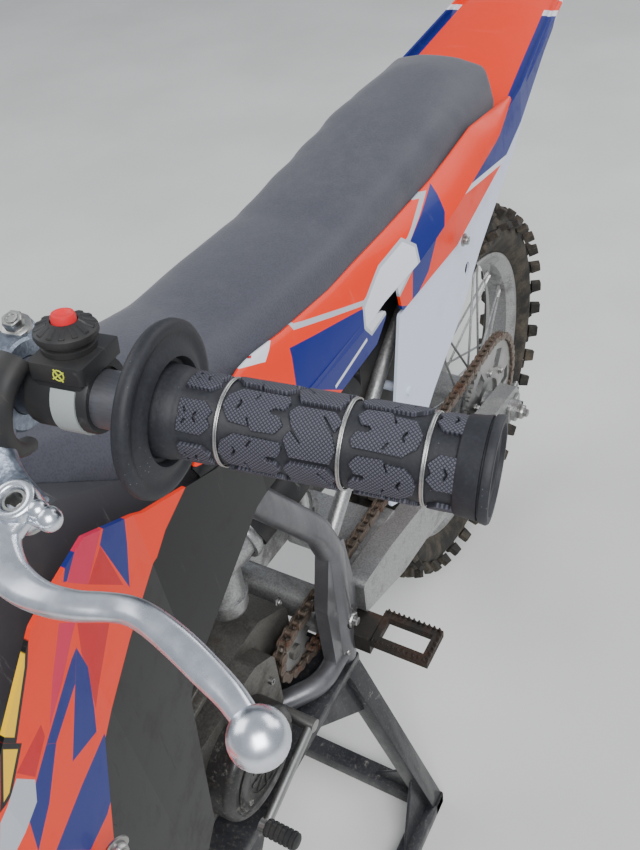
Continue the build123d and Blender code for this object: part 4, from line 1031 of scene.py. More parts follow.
@dataclass
class HandGrip:
    """A rubber grip with a flange, raised tread blocks and three safety wires."""

    side: Side
    bore: float = 11.3
    skin: float = 14.9
    block_top: float = 16.5
    length: float = 118.0
    wires: tuple[float, ...] = (27.4, 71, 99)
    wire: float = 0.42
    wire_rise: float = 0.9
    cut: float = 2.4
    block_reach: float = 12.0
    block_sunk: float = 0.6
    block_ease: float = 0.25
    small: Tread = Tread(
        ((6, -6), (6, -1.1), (4.9, 0), (6, 1.1), (6, 6), (-3.4, 6.2), (-6.4, 2.7), (-4.9, 0.3), (-6.4, -2.7),
         (-3, -6.2)),
        (((-1, -1.9), (0.2, -0.2), (-0.9, 1.9)), ((2.9, -1.1), (4.1, -2.9)), ((3.2, 1.2), (4.1, 2.9))))
    big: Tread = Tread(
        ((-6.3, -8.2), (10.3, -7.9), (11.4, -5.3), (9.8, -2.1), (6.4, -2), (5.1, -1), (5.9, 0.3), (8.8, 0.3),
         (10.8, 3.5), (8.4, 6.9), (0.5, 7.2), (-0.4, 6.6), (-1.8, 2.7), (-2.5, 2.9), (-1.2, 5.9), (-8.4, 5.3),
         (-11.7, 0), (-10.6, -4.8)),
        (((-6.2, -3.3), (-5.3, -1.7), (-6.6, 0.4)), ((0.4, -6.8), (-1.1, -4.3))))
    arrow: Tread = Tread(
        ((-7.4, -9.3), (5.6, -9.3), (8.8, -6), (6.9, -1.9), (2.6, -7.1), (2, -6.8), (6.2, -1.3), (8.2, 4.1),
         (6.6, 9.3), (-7.4, 9.3), (-10, 3.2), (-8.1, -0.2), (-4.3, 3.9), (-3.8, 3.5), (-7.7, -1),
         (-9.8, -6.3)))
    rings: tuple[TreadRing, ...] = (
        TreadRing(small, 19.0, 6, 0.02, -1.0), TreadRing(big, 40.2, 6, 0.68),
        TreadRing(arrow, 61.8, 5, 0.125), TreadRing(big, 85.6, 6, 0.6, -1.0),
        TreadRing(small, 106.6, 5, 0.38))
    flange: Outline = (
        (24, -3.9), (30, -3.6), (32.4, -2.4), (33.4, -0.2), (33.2, 1.8), (32, 3.1), (30.2, 3.4),
        (28.6, 2.8), (27.6, 2.3), (26.4, 2.4), (24, 3.4), (21.2, 4.8), (20.3, 4.7), (19.6, 3.2),
        (19.2, 1.2), (17.8, 1.2), (17.3, 3.4), (17.2, 6.5), (16.6, 9.4), (15.8, 11))
    end: Outline = (
        (16.4, -9), (16.9, -8.4), (17.2, -4), (17.7, -1.3), (16.8, -1.1), (16.8, -0.5), (18, -0.3),
        (18.3, 1.8), (17.7, 2.6), (15.6, 2.6), (15, 1.2), (9, 1.2), (8.4, 0.6), (0, 0.6))

    def profile(self) -> list[tuple[float, float]]:
        """Returns the grip's outline, radius by place along it, from bore to bore."""
        return [(self.bore, -3.6), *self.flange, (self.skin, 11.8), (self.skin, self.length - 9.6),
                *((radius, self.length + along) for radius, along in self.end)]

    def block(self, ring: TreadRing) -> Blank:
        """Makes one block of a ring, wrapped on the grip's skin.

        Args:
            ring: The ring.

        Returns:
            The block, with its unrolled place as a UV map.
        """
        loops = [[(x * ring.flip, y * ring.flip) for x, y in loop]
                 for loop in (ring.tread.outline, *(ring.tread.slit(line) for line in ring.tread.cuts))]
        blank = slab(loops[0], self.block_top - self.skin + self.block_sunk, loops[1:])
        blank.bevel(self.block_ease, 1, 50.0)
        offset = -self.block_reach
        while offset < self.block_reach:
            everything = blank.mesh.verts[:] + blank.mesh.edges[:] + blank.mesh.faces[:]
            bmesh.ops.bisect_plane(blank.mesh, geom=everything, plane_co=(0, offset, 0), plane_no=(0, 1, 0))
            offset += self.cut
        layer = blank.mesh.loops.layers.uv.new("UVMap")
        for face in blank.mesh.faces:
            for loop in face.loops:
                loop[layer].uv = ((loop.vert.co.x + ring.along) * MM, loop.vert.co.y * MM)
        for vert in blank.mesh.verts:
            turn = vert.co.y / self.block_top
            radius = self.skin - self.block_sunk + vert.co.z
            vert.co = Vector((radius * cos(turn), radius * sin(turn), vert.co.x + ring.along))
        return blank

    def build(self) -> None:
        """Makes the body, the tread and the wires."""
        suffix = self.side.name.lower()
        place = hand(self.side) @ LATHE_OUT
        body = lathe(self.profile(), 72).move(place).tidy(MERGE)
        body.piece(f"grip_{suffix}_body", GRIP_BODY_SHADED, Body.STEERING, 50, (f"grip_{suffix}",))
        tread = Blank()
        for ring in self.rings:
            tread.ring(self.block(ring), ring.count, Matrix(), start=ring.start)
        tread.move(place)
        bmesh.ops.recalc_face_normals(tread.mesh, faces=tread.mesh.faces)
        tread.piece(f"grip_{suffix}_tread", GRIP_TREAD_LIT, Body.STEERING, 35)
        wires = Blank()
        for along in self.wires:
            for offset in (-self.wire, self.wire):
                section = wire_section(self.skin + self.wire_rise, along + offset, self.wire, self.wire, 8)
                wires.add(lathe(section, 56, closed=True))
        wires.move(place).tidy(MERGE)
        wires.piece(f"grip_{suffix}_wires", STEEL, Body.STEERING, 60)


@dataclass
class Lever:
    """A forged lever blade with a ball end, its pivot and its adjuster."""

    side: Side
    node: str
    thick: float = 4.6
    line: tuple[tuple[float, float, float], ...] = (
        (-36, 50, 8.2), (-37, 61, 7.8), (-29, 70.5, 7.2), (-20, 75, 6.3), (-10, 77, 5.4), (0.8, 76.6, 4.9),
        (10.4, 74.6, 4.7), (18.9, 73.8, 4.7), (27.5, 75.6, 5), (38.5, 80, 5.3), (49.8, 85.6, 5.2),
        (60, 91, 4.8), (68, 96.8, 4.4), (72, 100, 4.4))
    ball: Point = (72, 100, 9.5)
    pivot: tuple[float, float] = (-35, 48.5)
    boss: Outline = (
        (4.8, -6), (7.4, -6), (8.1, -5.2), (8.1, 6.2), (7.4, 7), (5.4, 7), (4.8, 6.4), (4.8, -6))
    pin: Outline = (
        (0, -9), (6.4, -9), (6.4, -6.2), (4.7, -6), (4.7, 4.9), (4.2, 5.6), (3.3, 5.6), (3, 5), (3, -1.5),
        (0, -2.5))
    adjuster: tuple[Point, Point] = ((1, 6, 1), (3, 15, 2))
    adjuster_radius: float = 4.2
    knuckles: tuple[tuple[float, float, float, float], ...] = ((2.6, 14.2, 2.5, 4.6), (1, 9.8, 4, 3.9))

    def sphere(self, radius: float, segments: int) -> Blank:
        """Makes a ball about zero."""
        ball = Blank()
        bmesh.ops.create_uvsphere(ball.mesh, u_segments=segments, v_segments=segments * 2 // 3, radius=radius)
        return ball

    def build(self) -> None:
        """Makes the lever and its pin."""
        line = smooth_line(self.line, 5)
        path = [Vector((ahead, along, 0)) for along, ahead, _ in line]
        half = [(self.thick * (0.86 + 0.14 * sin(index * 0.35)), width)
                for index, (_, _, width) in enumerate(line)]
        blade = swept(path, half, UP, 18, 2.9)
        along, ahead, radius = self.ball
        blade.add(self.sphere(radius, 28), shift(ahead, along, 0))
        pivot = Vector((self.pivot[1], self.pivot[0], 0))
        blade.add(lathe(self.boss, 36), Matrix.Translation(pivot))
        start, end = (pivot + Vector(point) for point in self.adjuster)
        blade.add(rod_between(start, end, self.adjuster_radius, 20, 1.2))
        for *point, size in self.knuckles:
            blade.add(self.sphere(size, 24), Matrix.Translation(pivot + Vector(point)))
        place = hand(self.side)
        blade.move(place).tidy(MERGE)
        blade.piece(self.node + "_blade", POLISHED, Body.STEERING, 50, (self.node,))
        pin = lathe(self.pin, 32).move(place @ Matrix.Translation(pivot))
        pin.tidy(MERGE).piece(self.node + "_pin", STEEL, Body.STEERING, 35)


@dataclass
class KillSwitch:
    """The stop switch: a black housing strapped to the bar, a ribbed knob and a red button."""

    along: float = -35.0
    back: float = 1.5
    width: float = 20.0
    lean: float = -23.0
    knob_scale: float = 0.77
    plate: float = 7.4
    plate_top: float = 18.4
    plate_lip: float = 1.5
    ribs: int = 14
    side_view: Outline = (
        (-11, -8), (-13, 2), (-12.5, 12), (-11, 15.5), (9.5, 15.5), (11.8, 12), (12.4, 3), (11, -8),
        (5.5, -12.8), (-5.5, -12.8))
    knob: Outline = (
        (0, 0), (12, 0), (13.2, 1), (13.4, 3), (11.6, 3.6), (11.4, 4.8), (14.6, 5.4), (15.4, 6.8),
        (15.2, 8.4), (13.8, 9.6), (7.6, 11.6), (6.6, 11.8), (6.2, 10.6), (0, 10.6))
    rib: Outline = ((8, -0.9), (14.6, -1.5), (14.6, 1.5), (8, 0.9))
    button: Outline = ((0, 0), (5.9, 0), (6.1, 3.2), (5.4, 4.6), (4.2, 4.8), (3, 4.1), (0, 3.7))
    mark_bar: Outline = ((-2.9, -0.24), (2.9, -0.24), (2.9, 0.24), (-2.9, 0.24))
    mark_turn: float = 0.6
    strap_start: float = 0.6
    strap_turn: float = 230.0
    strap_sides: tuple[float, float] = (-3, 7)

    def build(self) -> None:
        """Makes the housing, the knob, the button, the mark and the strap."""
        place = hand() @ shift(-self.back, self.along, 0) @ turned("Y", radians(self.lean))
        housing = self.housing().move(place).tidy(MERGE)
        housing.piece("kill_switch_housing", BLACK_PLASTIC, Body.STEERING, 40, ("kill_switch",))
        knob = lathe(self.knob, 48)
        rib = slab(self.rib, 1.4).bevel(0.4, 1, 40.0).move(turned("Y", radians(16)))
        knob.ring(rib, self.ribs, shift(0, 0, 12.6))
        shrunk = Matrix.Diagonal((self.knob_scale, self.knob_scale, 1, 1))
        top = shift(-0.8, -1.6, self.plate_top - 0.8) @ shrunk
        knob.move(place @ top).tidy(MERGE).piece("kill_switch_knob", BLACK_PLASTIC, Body.STEERING, 35)
        button = lathe(self.button, 32).move(place @ top @ shift(0, 0, 9.8)).tidy(MERGE)
        button.piece("kill_switch_button", BUTTON_RED, Body.STEERING, 45)
        mark = Blank()
        mark.add(lathe(wire_section(2.1, 0, 0.26, 0.25), 32, closed=True))
        for turn in (self.mark_turn, self.mark_turn + QUARTER):
            mark.add(slab(self.mark_bar, 0.25), turned("Z", turn))
        mark.move(place @ shift(13.05, 1.8, self.plate_top - 3.6) @ turned("Y", QUARTER))
        mark.tidy(MERGE).piece("kill_switch_mark", MARK_GREEN, Body.STEERING, 35)
        strap = Blank()
        strap.add(self.band(14.6)).add(self.band(15.6))
        edges = [edge for edge in strap.mesh.edges if edge.is_boundary]
        bmesh.ops.bridge_loops(strap.mesh, edges=edges)
        strap.move(place).tidy(MERGE).piece("kill_switch_strap", STRAP_GREY, Body.STEERING, 40)

    def housing(self) -> Blank:
        """Makes the box, its top plate and the collar round the bar."""
        half = self.width / 2
        edge = half + self.plate_lip
        housing = Blank()
        block = slab(self.side_view, self.width).bevel(1.6, 2, 25.0)
        housing.add(block, shift(0, half, 0) @ turned("X", QUARTER))
        corners = [(-13, -edge), (11.5, -edge), (13, -half), (13, half), (11.5, edge), (-13, edge)]
        plate = slab(corners, self.plate)
        housing.add(plate.bevel(0.6, 2, 40.0), shift(0, 0, self.plate_top - self.plate))
        housing.add(lathe([(11.0, -half - 5), (14.2, -half - 5), (14.8, -half - 3), (14.8, half),
                           (14.2, half + 1), (11.0, half + 1), (11.0, -half - 5)], 32), LATHE_OUT)
        return housing

    def band(self, radius: float) -> Blank:
        """Returns a strip of the strap's arc round the bar."""
        strip = Blank()
        start = Vector((cos(self.strap_start), 0, sin(self.strap_start))) * radius
        verts = [strip.mesh.verts.new(start + Vector((0, across, 0))) for across in self.strap_sides]
        edge = strip.mesh.edges.new(verts)
        bmesh.ops.spin(strip.mesh, geom=verts + [edge], cent=(0, 0, 0), axis=(0, 1, 0),
                       angle=radians(self.strap_turn), steps=28, use_duplicate=False)
        return strip


@dataclass
class LeverPerch:
    """The clamp that carries a lever, with its bolts and the dark jaw under it."""

    side: Side
    node: str
    along: float = -67.0
    bar: float = 11.5
    half: float = 10.0
    outer: float = 18.5
    arm: tuple[tuple[float, float, float, float, float], ...] = (
        (12, 0, -2, 7, 8), (26, 5, -5, 6, 8.5), (38, 14, -9, 4, 9.5), (47, 29, -10, 3, 9.5))
    bolt: Point = (-17, 2, 12.4)
    jaw_steps: int = 13
    jaw_radius: float = 20.0
    jaw_start: float = 85.0
    jaw_pitch: float = 12.0

    def jaw(self) -> Blank:
        """Makes the tapering hook under the clamp."""
        steps = range(self.jaw_steps)
        turns = [radians(self.jaw_start - self.jaw_pitch * i) for i in steps]
        line = [Vector(((self.jaw_radius + 0.5 * i) * cos(turn), self.along + 15 - 0.7 * i,
                        (self.jaw_radius + 0.5 * i) * sin(turn))) for i, turn in enumerate(turns)]
        return swept(line, [(6.4 - 0.02 * i * i, 4.4 - 0.01 * i * i) for i in steps], LEFT, 14, 2.8)

    def build(self) -> None:
        """Makes the clamp with its arm, the bolt and the jaw."""
        place = hand(self.side)
        side, edge, rim = self.half, self.half - 1, self.outer - 1
        clamp = lathe([(self.bar, -side), (rim, -side), (self.outer, -edge), (self.outer, edge), (rim, side),
                       (self.bar, side), (self.bar, -side)], 40).move(shift(0, self.along, 0) @ LATHE_OUT)
        line = smooth_line([(x, self.along + y, z, high, wide) for x, y, z, high, wide in self.arm], 6)
        clamp.add(swept([Vector(row[:3]) for row in line], [row[3:] for row in line], UP, 18, 3.2))
        x, y, top = self.bolt
        bolt = Vector((x, self.along + y, 0))
        clamp.add(rod_between(bolt - 6 * UP, bolt + 12 * UP, 6.4, 18, 1.4))
        clamp.move(place).tidy(MERGE)
        clamp.piece(self.node + "_clamp", CLAMP_BLAST, Body.STEERING, 40, (self.node,))
        bolts = Blank().add(hex_bolt(8.8, 5.4, 6.0), Matrix.Translation(bolt + top * UP))
        bolts.move(place).tidy(MERGE).piece(self.node + "_bolts", STEEL, Body.STEERING, 35)
        self.jaw().move(place).tidy(MERGE).piece(self.node + "_cover", BLACK_PLASTIC, Body.STEERING, 40)


@dataclass(frozen=True)
class KnobRow:
    """A row of a tyre's knobs: its size above the casing, its stagger in pitches and its place.

    The place across is a share of the casing's half width plus a distance.
    """

    length: float
    width: float
    proud: float
    stagger: float
    share: float = 0.0
    aside: float = 0.0
    lean: float = 0.0
    drop: float = 0.0
    sides: tuple[int, ...] = (-1, 1)


@dataclass
class KnobbyTyre:
    """A cross tyre: its casing and staggered rows of bevelled blocks."""

    node: str
    body: Body
    centre: Point
    radius: float
    rim: float
    half_width: float
    rim_half: float
    rows: int
    knob: float = 11.0
    sunk: float = 3.0
    plan: tuple[KnobRow, ...] = (
        KnobRow(20, 17, 3, 0.0, aside=8.6), KnobRow(19, 15, 4, 0.5, share=0.56, lean=24, drop=5.5),
        KnobRow(24, 12, 5, 0.0, share=0.87, lean=58, drop=19.0), KnobRow(15, 22, 3, 0.5, sides=(1,)))

    def casing(self) -> list[tuple[float, float]]:
        """Returns the casing's closed section, radius by side."""
        base = self.radius - self.knob
        half = self.half_width - 5.0
        wall = [(self.rim, self.rim_half), (self.rim + 7, self.rim_half + 2.5),
                (self.rim + 0.45 * (base - self.rim), half), (base - 22, half - 4), (base - 7, half * 0.66),
                (base, half * 0.3)]
        return smooth_line([(radius, -side) for radius, side in wall] + wall[::-1], 3)

    def block(self, length: float, width: float, height: float) -> Blank:
        """Makes a knob that is narrower at its top.

        Args:
            length: Its size along X.
            width: Its size along Y.
            height: Its size above Z zero.

        Returns:
            The knob.
        """
        knob = Blank()
        bmesh.ops.create_cube(knob.mesh, size=1.0,
                              matrix=shift(0, 0, height / 2) @ Matrix.Diagonal((length, width, height, 1)))
        top = [face for face in knob.mesh.faces if face.normal.z > 0.5]
        bmesh.ops.scale(knob.mesh, vec=(0.84, 0.86, 1), verts=top[0].verts)
        return knob.bevel(1.0, 1, 50.0)

    def build(self) -> None:
        """Makes the casing and its blocks."""
        tyre = lathe(self.casing(), 96, closed=True)
        spin = turned("X", QUARTER)
        for row in self.plan:
            knob = self.block(row.length, row.width, self.knob + row.proud)
            across = self.half_width * row.share + row.aside
            for side in row.sides:
                seat = (shift(0, side * across, self.radius - self.knob - row.drop - self.sunk)
                        @ turned("X", -side * radians(row.lean)))
                tyre.ring(knob, self.rows, seat, "Y", row.stagger, spin.inverted())
        tyre.move(Matrix.Translation(self.centre) @ spin).tidy(MERGE)
        tyre.piece(self.node + "_tread", TYRE, self.body, 35, (self.node,))


@dataclass
class Chain:
    """The roller chain: plates and rollers, one link after another."""

    front: tuple[float, float] = (659.4, 470)
    rear: tuple[float, float] = (0, 340)
    plane: float = 66.0
    pitch: float = 15.875
    teeth: tuple[int, int] = (13, 48)
    links: int = 116
    plate_waist: float = 4.6
    plate_round: float = 7.0
    plate_thick: float = 2.2
    roller: Outline = (
        (0, -7.6), (2.6, -7.6), (2.6, -3.4), (5, -3.2), (5, 3.2), (2.6, 3.4), (2.6, 7.6), (0, 7.6))

    def pin(self, distance: float) -> Vector:
        """Finds a place on the loop.

        Args:
            distance: How far it is along the loop, from the top of the rear sprocket.

        Returns:
            Its place in bike x and z.
        """
        small, large = (self.pitch * teeth / tau for teeth in self.teeth)
        rear, front = Vector(self.rear), Vector(self.front)
        gap = front - rear
        slope = atan2(gap.y, gap.x)
        lean = asin((large - small) / gap.length)
        run = gap.length * cos(lean)
        arcs = (small * (pi - 2 * lean), large * (pi + 2 * lean))
        top, low = slope + QUARTER - lean, slope - QUARTER + lean
        distance %= 2 * run + sum(arcs)
        if distance < run:
            return rear + spoke(top) * large + spoke(top - QUARTER) * distance
        distance -= run
        if distance < arcs[0]:
            return front + spoke(top - distance / small) * small
        distance -= arcs[0]
        if distance < run:
            return front + spoke(low) * small + spoke(low - QUARTER) * distance
        return rear + spoke(low - (distance - run) / large) * large

    def plate(self) -> Blank:
        """Returns a waisted side plate about its middle."""
        reach, full = self.pitch / 2, self.plate_round
        points = []
        for sign in (1, -1):
            for step in range(-3, 4):
                turn = step * radians(28)
                points.append((sign * (reach + full * cos(turn)), sign * full * sin(turn)))
            points.append((0, sign * self.plate_waist))
        return slab(points, self.plate_thick).bevel(0.4, 1, 50.0)

    def build(self) -> None:
        """Makes the chain."""
        plate = self.plate()
        roller = lathe(self.roller, 10)
        chain = Blank()
        face_out = turned("X", QUARTER)
        for index in range(self.links):
            first, second = self.pin(index * self.pitch), self.pin((index + 1) * self.pitch)
            run = second - first
            middle = (first + second) / 2
            turn = turned("Y", -atan2(run.y, run.x))
            inner = 3.3 if index % 2 else 5.3
            for low in (-inner - 2.0, inner - 0.2):
                side = self.plane + low + self.plate_thick
                chain.add(plate, shift(middle.x, side, middle.y) @ turn @ face_out)
            chain.add(roller, shift(first.x, self.plane, first.y) @ face_out)
        chain.tidy(MERGE).piece("chain_links", CHAIN_STEEL, Body.FRAME, 35, ("chain",))


@dataclass
class ShockUnit:
    """The rear shock: a coil spring on its damper."""

    low: Point = (462, -30, 482)
    high: Point = (705, -30, 792)
    coil: float = 28.0
    wire: float = 5.4
    turns: float = 6.5
    steps: int = 24
    start: float = 55.0
    rise: float = 232.0
    eye: Outline = ((8, -15), (19, -15), (20.5, -14), (20.5, 14), (19, 15), (8, 15), (8, -15))
    damper: Outline = (
        (0, 14), (12, 14), (14, 22), (30, 40), (33, 44), (33, 50), (9, 52), (9, 150), (22, 152), (22, 290),
        (34, 292), (34, 302), (24, 306), (24, 340), (18, 352))

    def build(self) -> None:
        """Makes the damper and the spring."""
        low, high = Vector(self.low), Vector(self.high)
        length = (high - low).length
        place = frame_of(low, high - low, LEFT)
        damper = Blank()
        eye = lathe(self.eye, 32)
        for end in (0.0, length):
            damper.add(eye, shift(0, 0, end) @ turned("Y", QUARTER))
        damper.add(lathe([*self.damper, (14, length - 16), (0, length - 16)], 40))
        damper.move(place).tidy(MERGE).piece("shock_damper", ALLOY_CAST, Body.FRAME, 40, ("shock",))
        spring = Blank()
        bmesh.ops.create_circle(spring.mesh, cap_ends=False, radius=self.wire, segments=10,
                                matrix=shift(self.coil, 0, self.start) @ turned("X", QUARTER))
        bmesh.ops.spin(spring.mesh, geom=spring.mesh.verts[:] + spring.mesh.edges[:], cent=(0, 0, 0),
                       axis=(0, 0, 1), dvec=(0, 0, self.rise / (self.turns * self.steps)),
                       angle=tau * self.turns, steps=int(self.turns * self.steps), use_duplicate=False)
        bmesh.ops.holes_fill(spring.mesh, edges=[edge for edge in spring.mesh.edges if edge.is_boundary])
        spring.move(place).tidy(MERGE).piece("shock_spring", SPRING_WHITE, Body.FRAME, 50)


@dataclass
class SeatCover:
    """The seat's vinyl cover over its foam, swelled by a short cloth run."""

    voxel: float = 6.0
    cap: float = 4.0
    pressure: float = 4.0
    frames: int = 20
    relax: int = 14

    def baked(self, cover: bpy.types.Object) -> bpy.types.Mesh:
        """Applies the cover's modifiers and returns its mesh."""
        bpy.context.view_layer.update()
        mesh = bpy.data.meshes.new_from_object(cover.evaluated_get(bpy.context.evaluated_depsgraph_get()))
        cover.modifiers.clear()
        cover.data = mesh
        return mesh

    def swell(self, cover: bpy.types.Object) -> None:
        """Blows the cover up as cloth, held to the cap; the underside stays where it is.

        Args:
            cover: The cover.
        """
        start = [vert.co.copy() for vert in cover.data.vertices]
        cloth = cover.modifiers.new("cloth", "CLOTH")
        cloth.settings.quality = 3
        cloth.settings.use_pressure = True
        cloth.settings.uniform_pressure_force = self.pressure
        cloth.settings.effector_weights.gravity = 0.0
        cloth.point_cache.frame_start, cloth.point_cache.frame_end = 1, self.frames
        for number in range(1, self.frames + 1):
            bpy.context.scene.frame_set(number)
        mesh = self.baked(cover)
        bpy.context.scene.frame_set(1)
        for vert, place in zip(mesh.vertices, start):
            reach = self.cap * MM * max(0.0, min(1.0, 1.0 + 2.0 * vert.normal.z))
            moved = vert.co - place
            vert.co = place + moved * min(1.0, reach / max(moved.length, 1e-9))
        self.soften(cover)

    def soften(self, cover: bpy.types.Object) -> None:
        """Smooths the cover's skin."""
        smooth = cover.modifiers.new("relax", "SMOOTH")
        smooth.iterations = self.relax
        smooth.factor = 0.5
        self.baked(cover)

    def build(self) -> None:
        """Makes the cover from the CAD seat."""
        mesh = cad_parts["seat"].data.copy()
        cover = put("seat_cover", mesh)
        work = bmesh.new()
        work.from_mesh(mesh)
        bmesh.ops.remove_doubles(work, verts=work.verts, dist=0.00005)
        work.to_mesh(mesh)
        work.free()
        remesh = cover.modifiers.new("voxels", "REMESH")
        remesh.mode = "VOXEL"
        remesh.voxel_size = self.voxel * MM
        self.soften(cover)
        self.swell(cover)
        for polygon in cover.data.polygons:
            polygon.use_smooth = True
        cover.data.materials.clear()
        cover.data.materials.append(SEAT_VINYL.material())
        finer = cover.modifiers.new("subdivision", "SUBSURF")
        finer.levels = finer.render_levels = 1
        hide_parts("seat")
        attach(cover, Body.FRAME.value)
        LOG.info("seat_cover: %d faces", len(cover.data.polygons))


@dataclass
class SeatTrim:
    """The film-covered edge that closes the gap between the side panels and the seat."""

    side: Side
    top: Outline = (
        (30, 902), (90, 906), (150, 912), (271, 899), (390, 896), (507, 896), (600, 905), (676, 918),
        (730, 914), (790, 897))
    low: Outline = (
        (30, 898), (90, 888), (120, 880), (330, 850), (408, 842), (470, 834), (640, 838), (760, 876),
        (790, 890))
    seat: Outline = ((30, 90), (100, 87), (220, 86), (450, 81), (650, 78), (730, 90), (790, 104))
    face: Outline = (
        (30, 96), (100, 108), (250, 112), (360, 110), (440, 101), (640, 102), (760, 104), (790, 106))
    bow: Outline = ((0, 0), (0.3, 2.4), (0.65, 2.8), (0.92, 0.8), (1, -1.2))
    step: float = 15.0
    thick: float = 2.6
    gap: float = 0.8

    def level(self, table: Sequence[tuple[float, float]], x: float) -> float:
        """Reads a table at a place along the bike.

        Args:
            table: Pairs of place and value.
            x: The place.

        Returns:
            The value between the pairs on either side.
        """
        for (x0, v0), (x1, v1) in zip(table, table[1:]):
            if x <= x1:
                return v0 + (v1 - v0) * max(0.0, (x - x0) / (x1 - x0))
        return table[-1][1]

    def build(self) -> None:
        """Makes the edge strip."""
        rings = []
        x = self.low[0][0]
        while x <= self.low[-1][0]:
            foot = Vector((x, self.level(self.face, x) + self.gap, self.level(self.low, x)))
            head = Vector((x, self.level(self.seat, x), self.level(self.top, x)))
            run = head - foot
            out = Vector((0, run.z, -run.y)).normalized()
            line = [foot + run * share + out * bulge for share, bulge in self.bow]
            rings.append(line + [point - out * self.thick for point in reversed(line)])
            x += self.step
        strip = loft(rings)
        strip.bevel(0.7, 1, 55.0)
        if self.side is Side.RIGHT:
            strip.move(MIRROR)
        strip.tidy(MERGE).piece(f"seat_edge_{self.side.name.lower()}", SHROUD_PRINT_AND_SHADOW, Body.FRAME, 40)


class Head(Enum):
    """The kinds of fastener heads."""

    HEX = "hex"
    SOCKET = "socket"
    NUT = "nut"


@dataclass(frozen=True)
class BoltRing:
    """A ring of like fasteners, one alone by default; both puts it on each side of the bike."""

    centre: Sequence[float]
    axis: Vector
    size: float
    head: Head = Head.HEX
    body: Body = Body.FRAME
    both: bool = False
    ring: float = 0.0
    count: int = 1
    start: float = 0.0


STEER_FOOT = Vector((1424, 0, 321.6))
STEER_UP = Vector((-0.4462, 0, 0.8949))
STEER_AHEAD = Vector((0.8949, 0, 0.4462))


def steer(ahead: float, side: float, along: float) -> Vector:
    """Returns the bike point at a place of the steering head's own axes."""
    return STEER_FOOT + STEER_AHEAD * ahead + Vector((0, side, 0)) + STEER_UP * along


BOLT_ROWS = (
    BoltRing((800, 112, 470), LEFT, 7.0, Head.SOCKET, ring=40, count=3, start=20),
    BoltRing((800, 99, 470), LEFT, 8.0, ring=60, count=5, start=50),
    BoltRing((745, -112, 474), -LEFT, 8.0, ring=48, count=6, start=10),
    BoltRing((858, -100, 446), -LEFT, 6.0, ring=20, count=4, start=45),
    BoltRing((722, 50, 530), LEFT, 8.0),
    BoltRing((905, 50, 500), LEFT, 8.0),
    BoltRing((650, 50, 545), LEFT, 8.0),
    BoltRing((722, 76, 500), LEFT, 8.0, Head.SOCKET),
    BoltRing((870, 76, 500), LEFT, 8.0, Head.SOCKET),
    BoltRing((590, 101, 560), LEFT, 13.0, both=True),
    BoltRing((585, 102, 462), LEFT, 22.0, Head.NUT, both=True),
    BoltRing((597, 101, 408), LEFT, 12.0, both=True),
    BoltRing((705, 78, 792), LEFT, 14.0, both=True),
    BoltRing((0, 124, 340), LEFT, 27.0, Head.NUT, both=True),
    BoltRing((1475, 118, 347), LEFT, 24.0, Head.NUT, Body.STEERING, both=True),
    BoltRing((0, 68.9, 340), LEFT, 12.0, body=Body.REAR_WHEEL, ring=66, count=6, start=30),
    BoltRing((0, -57.5, 340), -LEFT, 9.0, Head.SOCKET, Body.REAR_WHEEL, ring=32, count=6),
    BoltRing((1475, 49.5, 347), LEFT, 8.0, Head.SOCKET, Body.FRONT_WHEEL, ring=28, count=6),
    BoltRing((1020, 182, 800), Vector((0.35, 1, 0)), 13.0, both=True),
    BoltRing((660, 104, 820), LEFT, 12.0, both=True),
    BoltRing((250, 119, 815), LEFT, 12.0),
    BoltRing(steer(-12, 119, 682), LEFT, 11.0, body=Body.STEERING, both=True),
    BoltRing(steer(-12, 119, 699), LEFT, 11.0, body=Body.STEERING, both=True),
    BoltRing(steer(-12, 117, 868), LEFT, 11.0, body=Body.STEERING, both=True),
    BoltRing(steer(0, 0, 888), STEER_UP, 36.0, Head.NUT, Body.STEERING),
    BoltRing(steer(-3, 42, 923), STEER_UP, 10.0, Head.SOCKET, Body.STEERING, both=True),
    BoltRing(steer(25, 42, 923), STEER_UP, 10.0, Head.SOCKET, Body.STEERING, both=True),
    BoltRing(steer(70, 34, 702), STEER_AHEAD, 9.0, body=Body.STEERING, both=True),
    BoltRing(steer(70, 34, 868), STEER_AHEAD, 9.0, body=Body.STEERING, both=True),
    BoltRing(steer(61.5, 100, 72), STEER_AHEAD, 9.0, body=Body.STEERING, both=True),
    BoltRing(steer(61.5, 100, 98), STEER_AHEAD, 9.0, body=Body.STEERING, both=True),
    BoltRing(steer(-36, 73, 62), LEFT, 11.0, body=Body.STEERING),
    BoltRing(steer(-36, 73, 106), LEFT, 11.0, body=Body.STEERING),
    BoltRing((70, -76, 408), -LEFT, 11.0),
    BoltRing((98, -76, 438), -LEFT, 11.0))


